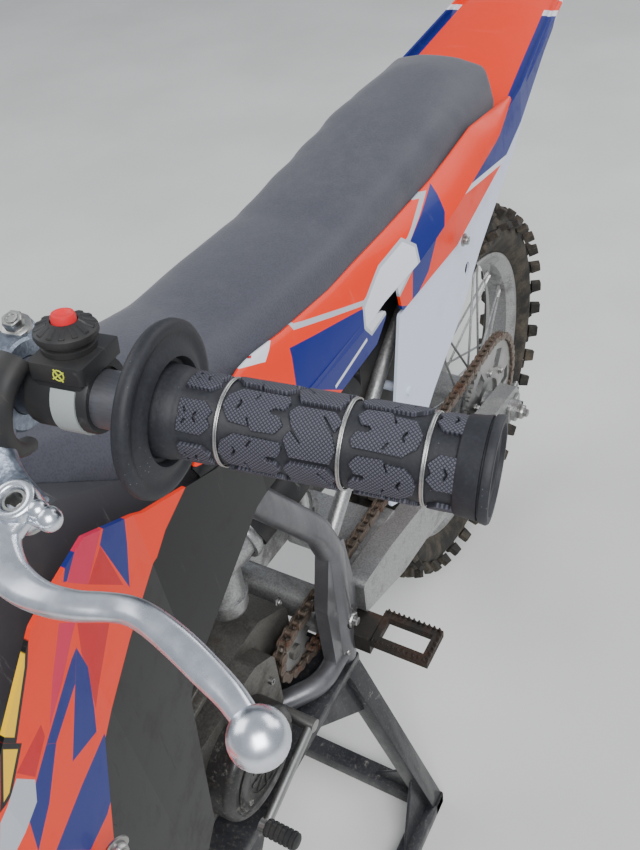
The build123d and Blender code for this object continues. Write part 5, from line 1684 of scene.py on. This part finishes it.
@dataclass
class Fasteners:
    """The bolts and nuts that hold the bike together, joined into one piece for each body."""

    rows: tuple[BoltRing, ...] = BOLT_ROWS
    bolt_end: Outline = ((0, 0.3), (0.26, 0.3), (0.26, 0.62), (0.2, 0.68), (0, 0.68))

    def head(self, row: BoltRing) -> Blank:
        """Makes the fastener head of a row."""
        if row.head is Head.SOCKET:
            return socket_bolt(row.size / 2, row.size * 0.6)
        if row.head is Head.HEX:
            return hex_bolt(row.size, row.size * 0.5, row.size * 0.68)
        nut = hex_bolt(row.size, row.size * 0.42, row.size * 0.62)
        end = [(row.size * radius, row.size * level) for radius, level in self.bolt_end]
        nut.add(lathe(end, 16))
        return nut

    def build(self) -> None:
        """Makes every row's fasteners."""
        for body in Body:
            joined = Blank()
            for row in (row for row in self.rows if row.body is body):
                one = self.head(row)
                place = frame_of(Vector(row.centre), row.axis, Vector((1, 0, 0.01)))
                for index in range(row.count):
                    turn = radians(row.start) + tau * index / row.count
                    spot = place @ turned("Z", turn) @ shift(row.ring, 0, 0)
                    joined.add(one, spot)
                    if row.both:
                        joined.add(one, MIRROR @ spot)
            joined.piece(f"{body.value}_bolts", STEEL, body, 35)


@dataclass
class WheelTrim:
    """A wheel's nipples, rim beads and valve."""

    name: str
    body: Body
    centre: Point
    rim: float
    hub: float
    hub_half: float
    half: float
    per_side: int = 16
    cross: float = 52.0 * 0.62
    nipple: Outline = ((0, 0), (2.6, 0), (3, 2), (3, 10), (3.9, 12), (3.9, 17), (0, 17))
    nipple_back: float = 21.0
    valve: Outline = ((0, 0), (4.2, 0), (4.2, 6), (3, 8), (3, 26), (2.2, 27), (2.2, 32), (0, 32))

    def build(self) -> None:
        """Makes the nipples, the rim's beads and the valve."""
        trim = Blank()
        nipple = lathe(self.nipple, 8)
        rim, hub = self.rim - 10, self.hub - 5
        for side in (-1, 1):
            for index in range(self.per_side):
                turn = tau * (index + (0.5 if side > 0 else 0)) / self.per_side
                lean = radians(self.cross) * (1 if index % 2 else -1) + turn
                outer = Vector((rim * cos(lean), side * 6, rim * sin(lean)))
                inner = Vector((hub * cos(turn), side * self.hub_half, hub * sin(turn)))
                way = (outer - inner).normalized()
                trim.add(nipple, frame_of(outer - way * self.nipple_back, way, LEFT))
        for side in (-1, 1):
            lip = wire_section(self.rim + 5.2, side * (self.half - 0.4), 1.5, 1.2)
            trim.add(lathe(lip, 72, closed=True), turned("X", QUARTER))
        trim.add(lathe(self.valve, 12), shift(0, 0, -(self.rim - 12)))
        trim.move(Matrix.Translation(self.centre)).tidy(MERGE)
        trim.piece(self.name + "_nipples", STEEL, self.body, 35)


@dataclass
class ForkTrim:
    """Caps, adjusters, dust seals and bands of the fork's legs."""

    spacing: float = 100.0
    lead: float = 22.0
    cap_level: float = 895.0
    seal_level: float = 335.0
    band_rise: tuple[float, float] = (60, 180)
    cap: Outline = (
        (0, -1), (27.2, -1), (27.6, 0.8), (26.4, 2.6), (24.5, 3.2), (24.5, 6.2), (22, 8.6), (12, 9.4),
        (11, 8), (9.4, 8), (9.4, 13), (8.2, 14.6), (0, 14.8))
    seal: Outline = (
        (24.2, -9), (27.6, -9), (28.6, -7.4), (28.6, -2.6), (30.8, -1.6), (31.4, 0.6), (31, 2.6),
        (24.2, 2.6), (24.2, -9))
    band: Outline = ((28.1, -5), (28.7, -4.4), (28.7, 4.4), (28.1, 5))

    def on_leg(self, side: int, along: float) -> Matrix:
        """Returns the workplace at a level of a fork leg."""
        return frame_of(steer(self.lead, side * self.spacing, along), STEER_UP, STEER_AHEAD)

    def build(self) -> None:
        """Makes the pieces of both legs."""
        caps, seals = Blank(), Blank()
        cap, seal, band = lathe(self.cap, 24), lathe(self.seal, 36), lathe(self.band, 36)
        nut = hex_bolt(34, 5.0).move(shift(0, 0, 5))
        for side in (-1, 1):
            top = self.on_leg(side, self.cap_level)
            caps.add(cap, top).add(nut, top)
            seals.add(seal, self.on_leg(side, self.seal_level))
            for rise in self.band_rise:
                caps.add(band, self.on_leg(side, self.seal_level + rise))
        caps.piece("fork_caps", ALLOY_CAST, Body.STEERING, 35)
        seals.piece("fork_dust_seals", BLACK_PLASTIC, Body.STEERING, 35)


@dataclass
class BarPad:
    """The foam cushion over the bar clamps, in its sewn cover."""

    centre: Point = (1028.7, 0, 1181.4)
    half: Point = (27, 65, 20)
    stations: tuple[float, ...] = (-1, -0.97, -0.9, -0.75, -0.45, 0, 0.45, 0.75, 0.9, 0.97, 1)
    square: float = 3.4
    foot: Outline = ((-14, -24), (14, -24), (14, 24), (-14, 24))
    straps: tuple[float, float] = (-38, 38)
    strap_width: float = 14.0
    strap_line: Outline = ((0, 0.3), (0, 1.4), (1, 1.4), (1, 0.3))

    def ring(self, along: float, half_x: float, half_z: float) -> list[Vector]:
        """Returns a ring round the bar at a place along it."""
        place = frame_of(Vector(self.centre) + Vector((0, along, 0)), LEFT, AHEAD)
        return ring_at(place, half_x, half_z, 28, self.square)

    def build(self) -> None:
        """Makes the cushion and its straps."""
        wide, reach, high = self.half
        rings = []
        for share in self.stations:
            shrink = (1 - abs(share) ** 5) ** 0.35 * 0.32 + 0.68 if abs(share) < 1 else 0.62
            rings.append(self.ring(share * reach, wide * shrink, high * shrink))
        pad = loft(rings).tidy(MERGE)
        pad.add(slab(self.foot, 24).bevel(4, 2, 50), shift(self.centre[0] - 4, 0, self.centre[2] - 40))
        thing = pad.piece("bar_pad_cushion", PAD_FABRIC, Body.STEERING, 40, ("bar_pad",), 1)
        straps = Blank()
        for along in self.straps:
            straps.add(loft([self.ring(along + share * self.strap_width, wide + grow, high + grow)
                             for share, grow in self.strap_line]))
        straps.tidy(MERGE).piece("bar_pad_straps", BLACK_PLASTIC, Body.STEERING, 40)


@dataclass
class EngineTrim:
    """Castings and fittings on the engine that the solid cases leave plain."""

    crank: Point = (800, 112, 470)
    clutch: Point = (745, -112, 474)
    tilt: float = 12.0
    base: Point = (812, 0, 556)
    cover: Outline = (
        (30, -0.6), (50, -0.6), (51.5, 0.4), (51.5, 1.6), (50, 2.2), (32, 2.2), (30, 1.2), (30, -0.6))
    cover_rib: Outline = ((4, -1.6), (28, -2.4), (28, 2.4), (4, 1.6))
    cover_ribs: int = 9
    clutch_plate: Outline = (
        (20, -0.6), (54, -0.6), (56, 0.6), (56, 2.4), (54, 3.2), (22, 3.2), (20, 2), (20, -0.6))
    flange: Outline = (
        (-60, -40), (-40, -60), (40, -60), (60, -40), (60, 40), (40, 60), (-40, 60), (-60, 40))
    flange_levels: tuple[float, float] = (14, 121)
    head_fin: Outline = ((-3, -46), (3, -46), (3, 46), (-3, 46))
    side_fin: Outline = ((-44, 0), (44, 0), (44, 5), (-44, 5))
    head_level: float = 176.0
    nuts: Outline = ((-38, -38), (0, -46), (38, -38), (-38, 38), (0, 46), (38, 38))
    plug: Outline = ((0, 196), (13, 196), (14, 199), (14, 206), (11, 210), (10, 226), (9, 230), (0, 231))
    plug_stub: Outline = ((0, 0), (6, 0), (7, 3), (7, 22), (5.6, 26), (0, 26))
    carb_axis: Point = (-92, 18, 14)
    carb_bands: tuple[tuple[Point, float, float], ...] = (
        ((738, 8.8, 650.6), 28.5, 9), ((664, 23, 662), 31.5, 10))
    bowl: Outline = ((0, 574), (18, 574), (23, 578), (25, 584), (25, 600), (27, 601), (27, 604), (24, 605))
    carb_top: Outline = (
        (24, 706), (26.5, 707), (26.5, 714), (25, 719), (12, 722), (11, 728), (7, 731), (0, 731))
    bowl_place: tuple[float, float] = (697, 17)

    def build(self) -> None:
        """Makes the covers' ribs, the cylinder's castings and the carburettor's parts."""
        self.covers()
        top = Matrix.Translation(self.base) @ turned("Y", radians(self.tilt))
        self.castings(top)
        nuts = Blank()
        for x, y in self.nuts:
            nuts.add(hex_bolt(13, 7, 9), top @ shift(x, y, self.head_level + 2))
        nuts.piece("head_nuts", STEEL, Body.FRAME, 35)
        plug = lathe(self.plug, 24)
        plug.add(lathe(self.plug_stub, 18), shift(0, 0, 218) @ turned("Y", radians(-78)))
        plug.move(top).tidy(MERGE).piece("spark_plug_cap", BLACK_PLASTIC, Body.FRAME, 40)
        self.carburettor()

    def covers(self) -> None:
        """Makes the ignition cover's ribs and the clutch cover's plate."""
        cover = lathe(self.cover, 48)
        cover.ring(slab(self.cover_rib, 2.2).bevel(0.6, 1, 50), self.cover_ribs, shift(0, 0, -0.4))
        cover.move(Matrix.Translation(self.crank) @ turned("X", -QUARTER)).tidy(MERGE)
        cover.piece("ignition_cover_ribs", COVER_BLACK, Body.FRAME, 40)
        clutch = lathe(self.clutch_plate, 48).move(Matrix.Translation(self.clutch) @ turned("X", QUARTER))
        clutch.tidy(MERGE).piece("clutch_cover_plate", COVER_BLACK, Body.FRAME, 40)

    def castings(self, top: Matrix) -> None:
        """Makes the cylinder's flanges and fins in its own workplace."""
        castings = Blank()
        for height in self.flange_levels:
            castings.add(slab(self.flange, 8).bevel(1.4, 2, 40), top @ shift(0, 0, height))
        for index in range(6):
            fin = slab(self.head_fin, 8).bevel(1.6, 2, 50)
            castings.add(fin, top @ shift(-40 + 16 * index, 0, self.head_level))
        for side in (-1, 1):
            across = side * 51 - (5 if side < 0 else 0) + side
            for index in range(5):
                fin = slab(self.side_fin, 3).bevel(0.8, 1, 50)
                castings.add(fin, top @ shift(0, across, 36 + 17 * index))
        castings.tidy(MERGE).piece("cylinder_castings", ENGINE_CAST, Body.FRAME, 40)

    def carburettor(self) -> None:
        """Makes the carburettor's hose bands, bowl and top."""
        carb = Blank()
        line = Vector(self.carb_axis).normalized()
        for start, radius, wide in self.carb_bands:
            band = lathe([(radius - 4, 0), (radius, 0), (radius + 0.8, 1.4), (radius + 0.8, wide - 1.4),
                          (radius, wide), (radius - 4, wide), (radius - 4, 0)], 36)
            carb.add(band, frame_of(Vector(start), line, UP))
        bowl = lathe(self.bowl, 32).add(lathe(self.carb_top, 32))
        bowl.add(hex_bolt(14, 7), shift(0, 0, self.bowl[0][1]) @ turned("X", pi))
        carb.add(bowl, shift(*self.bowl_place, 0))
        carb.tidy(MERGE).piece("carburettor_bowl", ALLOY_CAST, Body.FRAME, 40)


@dataclass
class PipeTrim:
    """Weld beads of the expansion chamber, bands and rivets of the silencer."""

    stations: tuple[tuple[float, float, float, float], ...] = (
        (886, 0, 622, 22), (925, -34, 590, 25), (960, -70, 545, 32), (975, -100, 500, 42),
        (940, -122, 505, 50), (875, -128, 575, 48), (790, -132, 655, 40), (690, -134, 705, 29),
        (590, -130, 722, 15), (440, -128, 728, 13))
    bead: float = 1.5
    scales: int = 22
    silencer: tuple[Point, Point] = ((440, -128, 728), (-60, -132, 792))
    rivet: Outline = ((0, 36.6), (2.6, 36.6), (2.4, 38.2), (1.2, 38.8), (0, 38.9))
    rivets: int = 10
    outlet: Outline = ((12, 6), (16, 8), (17.2, 12), (15.5, 30), (12.2, 30), (12, 6))

    def bead_at(self, middle: Vector, way: Vector, radius: float) -> Blank:
        """Makes one weld bead, a ring of small overlapping scales.

        Args:
            middle: The ring's middle.
            way: The pipe's way there.
            radius: The ring's radius.

        Returns:
            The bead.
        """
        ring = lathe(wire_section(radius, 0, self.bead, self.bead), 2 * self.scales, closed=True)
        for vert in ring.mesh.verts:
            turn = atan2(vert.co.y, vert.co.x)
            vert.co.z += 0.5 * sin(turn * self.scales)
        return ring.move(frame_of(middle, way, UP))

    def build(self) -> None:
        """Makes the weld beads and the silencer's fittings."""
        welds = Blank()
        points = [(Vector(row[:3]), row[3]) for row in self.stations]
        for (before, _), (middle, radius), (after, _) in zip(points, points[1:], points[2:]):
            way = ((middle - before).normalized() + (after - middle).normalized()).normalized()
            welds.add(self.bead_at(middle, way, radius + 0.3))
        for (start, first), (end, second) in zip(points[2:7], points[3:8]):
            for share in (0.33, 0.67):
                radius = first + (second - first) * share + 0.2
                welds.add(self.bead_at(start.lerp(end, share), end - start, radius))
        welds.piece("exhaust_welds", RUSTED, Body.FRAME, 50)
        self.fittings()

    def fittings(self) -> None:
        """Makes the silencer's bands, rivets and outlet."""
        start, end = (Vector(point) for point in self.silencer)
        length = (end - start).length
        bands = Blank()
        for along, wide in ((16, 16), (length - 34, 22), (length * 0.55, 18)):
            bands.add(lathe([(35.2, along), (36.9, along), (37.3, along + 1), (37.3, along + wide - 1),
                             (36.9, along + wide), (35.2, along + wide)], 56))
        rivet = lathe(self.rivet, 8)
        for along in (24, length - 23):
            bands.ring(rivet, self.rivets, turned("Y", QUARTER), outer=shift(0, 0, along))
        bands.add(lathe([(radius, length + along) for radius, along in self.outlet], 32))
        bands.move(frame_of(start, end - start, UP)).tidy(MERGE)
        bands.piece("silencer_bands", STEEL, Body.FRAME, 35)


@dataclass
class FootTrim:
    """Peg teeth, lever rubbers and the chain adjusters."""

    tooth: Outline = ((-2.6, 0), (2.6, 0), (0.8, 5.2), (-0.8, 5.2))
    tooth_thick: float = 3.2
    peg_level: float = 427.6
    peg_edges: tuple[float, float] = (533.6, 582.4)
    peg_root: float = 133.0
    peg_tip: float = 206.4
    sleeve_ribs: int = 6
    sleeves: tuple[tuple[Point, Point], ...] = (
        ((840, 130, 418), (0, 1, 0)), ((655, -148, 638), (0, -1, 0)))
    block: Outline = ((-30, -15), (22, -15), (22, 15), (-30, 15))
    mark: Outline = ((-0.5, 0), (0.5, 0), (0.5, 7), (-0.5, 7))

    def build(self) -> None:
        """Makes the pieces on both sides."""
        self.teeth()
        self.rubbers()
        self.adjusters()

    def teeth(self) -> None:
        """Makes the footpegs' teeth."""
        teeth = Blank()
        tooth = slab(self.tooth, self.tooth_thick).bevel(0.3, 1, 50)
        upright = turned("X", QUARTER)
        middle = shift(0, 0, -self.tooth_thick / 2)
        for side in (-1, 1):
            for x in self.peg_edges:
                for index in range(11):
                    teeth.add(tooth, shift(x, side * (self.peg_root + 7 * index), self.peg_level)
                              @ turned("Z", QUARTER) @ upright @ middle)
            for index in range(6):
                spot = shift(537 + 8.4 * index, side * self.peg_tip, self.peg_level)
                teeth.add(tooth, spot @ upright @ middle)
        teeth.piece("footpeg_teeth", PEG_STEEL, Body.FRAME, 35)

    def rubbers(self) -> None:
        """Makes the ribbed sleeves of the gear and kick levers."""
        rubbers = Blank()
        ribs = [(8, 0), (9.6, 0)]
        for index in range(self.sleeve_ribs):
            low = 6 * index
            ribs += [(10.2, 1.5 + low), (10.2, 4.5 + low), (9.2, 5.2 + low), (9.2, 6.6 + low)]
        sleeve = lathe(ribs + [(9.6, 37.5), (7, 39.5), (0, 39.8)], 24)
        for start, way in self.sleeves:
            rubbers.add(sleeve, frame_of(Vector(start), Vector(way), AHEAD))
        rubbers.tidy(MERGE).piece("pedal_rubbers", BLACK_PLASTIC, Body.FRAME, 40)

    def adjusters(self) -> None:
        """Makes the chain adjusters' blocks, marks and bolts."""
        adjusters = Blank()
        block = slab(self.block, 7).bevel(1.6, 2, 50)
        mark = slab(self.mark, 0.5)
        for side in (-1, 1):
            face = turned("X", -side * QUARTER)
            adjusters.add(block, shift(0, side * 110, 340) @ face)
            for index in range(7):
                adjusters.add(mark, shift(60 + 5 * index, side * 110.1, 352) @ face)
            across = side * 95
            adjusters.add(rod_between(Vector((-74, across, 338)), Vector((-40, across, 339)), 4.2, 14))
            adjusters.add(hex_bolt(14, 7), frame_of(Vector((-60, across, 338.4)), -AHEAD, UP))
        adjusters.tidy(MERGE).piece("chain_adjusters", STEEL, Body.FRAME, 35)


@dataclass
class PaddockStand:
    """The stand: square-tube legs and base, a deck, and plates at every joint."""

    middle: float = 745.0
    top: tuple[float, float] = (150, 95)
    foot: tuple[float, float] = (200, 190)
    deck_z: float = 387.0
    floor_z: float = -35.0
    tube: float = 15.0
    plate: float = 5.0
    plate_reach: float = 96.0
    plate_root: float = 10.0
    plate_lip: float = 12.0
    deck: float = 18.0

    def beam(self, start: Vector, end: Vector, up: Vector) -> Blank:
        """Makes a square tube between two points."""
        half = self.tube
        blank = slab([(-half, -half), (half, -half), (half, half), (-half, half)], (end - start).length)
        return blank.bevel(3.0, 2, 50.0).move(frame_of(start, end - start, up))

    def gusset(self, corner: Vector, first: Vector, second: Vector) -> Blank:
        """Makes the plate that fills a corner.

        Args:
            corner: Where two tubes meet.
            first: The way of the one tube.
            second: The way of the other.

        Returns:
            The plate.
        """
        way = spoke(first.angle(second))
        reach, root, lip = self.plate_reach, self.plate_root, self.plate_lip
        outline = [Vector((root, 0)), Vector((reach, 0)), Vector((reach, 0)) + way * lip,
                   way * reach + Vector((lip, 0)), way * reach, way * root]
        plate = slab([tuple(point) for point in outline], self.plate).bevel(1.2, 1, 50.0)
        return plate.move(frame_of(corner, first.cross(second), first) @ shift(0, 0, -self.plate / 2))

    def build(self) -> None:
        """Makes the stand."""
        stand = Blank()
        low = self.floor_z + self.tube
        under = self.deck_z - self.deck
        along, across = self.foot[0] + self.tube, self.foot[1] + self.tube
        for sx in (-1, 1):
            for sy in (-1, 1):
                head = Vector((self.middle + sx * self.top[0], sy * self.top[1], under))
                foot = Vector((self.middle + sx * self.foot[0], sy * self.foot[1], low))
                leg = (head - foot).normalized()
                stand.add(self.beam(head, foot, AHEAD))
                for inward in (Vector((-sx, 0, 0)), Vector((0, -sy, 0))):
                    stand.add(self.gusset(foot, leg, inward)).add(self.gusset(head, -leg, inward))
            x, y = self.middle + sx * self.foot[0], sx * self.foot[1]
            stand.add(self.beam(Vector((x, -across, low)), Vector((x, across, low)), UP))
            start, end = Vector((self.middle - along, y, low)), Vector((self.middle + along, y, low))
            stand.add(self.beam(start, end, UP))
        half_x, half_y = self.top[0] + self.tube, self.top[1] + self.tube
        deck = slab([(-half_x, -half_y), (half_x, -half_y), (half_x, half_y), (-half_x, half_y)], self.deck)
        stand.add(deck.bevel(2.4, 2, 50), shift(self.middle, 0, under))
        stand.tidy(MERGE).piece("stand_frame", STAND_PAINT, Body.FRAME, 40, ("stand",))


@dataclass
class Studio:
    """The camera, the pale floor and the soft lights."""

    eye: Point = (1156.7, 474, 1387.1)
    look: Point = (-0.6266, -0.4126, -0.6612)
    right: Point = (-0.4748, 0.8749, -0.096)
    focal_pixels: float = 900.0
    picture_height: float = 850.0
    sensor: float = 36.0
    clip: tuple[float, float] = (0.02, 60)
    floor_radius: float = 14.0
    floor_tones: tuple[Colour, Colour] = ((0.60, 0.60, 0.58), (0.66, 0.66, 0.64))
    sky: tuple[float, ...] = (0.86, 0.92, 1, 1)
    sky_strength: float = 0.55
    aim: Point = (0, 0, 0.7)
    lamps: tuple[tuple[str, Point, float, float], ...] = (
        ("key_light", (2.2, 2.4, 4.2), 3.0, 250.0), ("fill_light", (-3.2, 1.5, 3), 3.0, 70.0),
        ("rim_light", (0.5, -3.5, 3.4), 3.0, 80.0))

    def build(self) -> None:
        """Makes the camera first, then floor and lights."""
        self.camera()
        self.floor()
        self.lights()

    def camera(self) -> None:
        """Puts the camera where the photograph was taken from."""
        data = bpy.data.cameras.new("photo_camera")
        data.sensor_width = self.sensor
        data.lens = self.focal_pixels * self.sensor / self.picture_height
        data.clip_start, data.clip_end = self.clip
        camera = put("photo_camera", data)
        forward = Vector(self.look).normalized()
        side = Vector(self.right)
        side = (side - forward * side.dot(forward)).normalized()
        up = side.cross(forward)
        turn = Matrix((side, up, -forward)).transposed()
        camera.matrix_world = Matrix.Translation(at(*self.eye)) @ turn.to_4x4()
        bpy.context.scene.camera = camera

    def floor(self) -> None:
        """Lays a wide pale floor under the stand."""
        mesh = bmesh.new()
        bmesh.ops.create_circle(mesh, cap_ends=True, radius=self.floor_radius, segments=64,
                                matrix=shift(0, 0, -MM))
        data = bpy.data.meshes.new("floor")
        mesh.to_mesh(data)
        mesh.free()
        shader = Shader("floor_pale")
        soft = shader.noise(2.0, 3.0)
        data.materials.append(shader.surface(
            Base_Color=shader.mix(soft.ramp(0.3, 0.7), *self.floor_tones), Roughness=0.85))
        put("floor", data)

    def lights(self) -> None:
        """Hangs large soft lights and a grey sky."""
        world = bpy.data.worlds.new("studio_sky")
        world.use_nodes = True
        background = world.node_tree.nodes["Background"]
        background.inputs[0].default_value = self.sky
        background.inputs[1].default_value = self.sky_strength
        bpy.context.scene.world = world
        for name, place, size, power in self.lamps:
            data = bpy.data.lights.new(name, "AREA")
            data.size = size
            data.energy = power
            light = put(name, data)
            light.location = place
            light.rotation_euler = (Vector(self.aim) - Vector(place)).to_track_quat("-Z", "Y").to_euler()


@dataclass
class Finishing:
    """Gives every CAD node that stays in view its detailed finish."""

    own: dict[str, Finish] = field(default_factory=lambda: dict(NODE_FINISHES))

    def build(self) -> None:
        """Finishes the nodes."""
        for name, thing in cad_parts.items():
            finish = self.own.get(name) or self.by_slot(thing)
            for slot in thing.material_slots:
                slot.material = finish.material()

    def by_slot(self, thing: bpy.types.Object) -> Finish:
        """Returns the finish of the slot that a node is in."""
        for slot in thing.material_slots:
            for key, finish in SLOT_FINISHES.items():
                if slot.material and slot.material.name.split(".")[0] == key:
                    return finish
        LOG.info("no finish for %s", thing.name)
        return BLACK_PLASTIC


def main() -> None:
    """Builds every sub-assembly and reports it."""
    logging.basicConfig(level=logging.INFO, format="%(message)s")
    Studio().build()
    for side in Side:
        HandGrip(side).build()
    Lever(Side.LEFT, "clutch_lever").build()
    Lever(Side.RIGHT, "brake_lever").build()
    KillSwitch().build()
    LeverPerch(Side.LEFT, "clutch_perch").build()
    LeverPerch(Side.RIGHT, "brake_perch").build()
    KnobbyTyre("front_tyre", Body.FRONT_WHEEL, (1475, 0, 347), 347, 277, 42, 19, 36).build()
    KnobbyTyre("rear_tyre", Body.REAR_WHEEL, (0, 0, 340), 338, 252, 50, 25, 36, 13).build()
    Chain().build()
    ShockUnit().build()
    SeatCover().build()
    for side in Side:
        SeatTrim(side).build()
    Fasteners().build()
    WheelTrim("front_wheel", Body.FRONT_WHEEL, (1475, 0, 347), 277, 42, 32, 23).build()
    WheelTrim("rear_wheel", Body.REAR_WHEEL, (0, 0, 340), 252, 56, 34, 29).build()
    ForkTrim().build()
    BarPad().build()
    EngineTrim().build()
    PipeTrim().build()
    FootTrim().build()
    PaddockStand().build()
    Finishing().build()


if __name__ == "__main__":
    main()
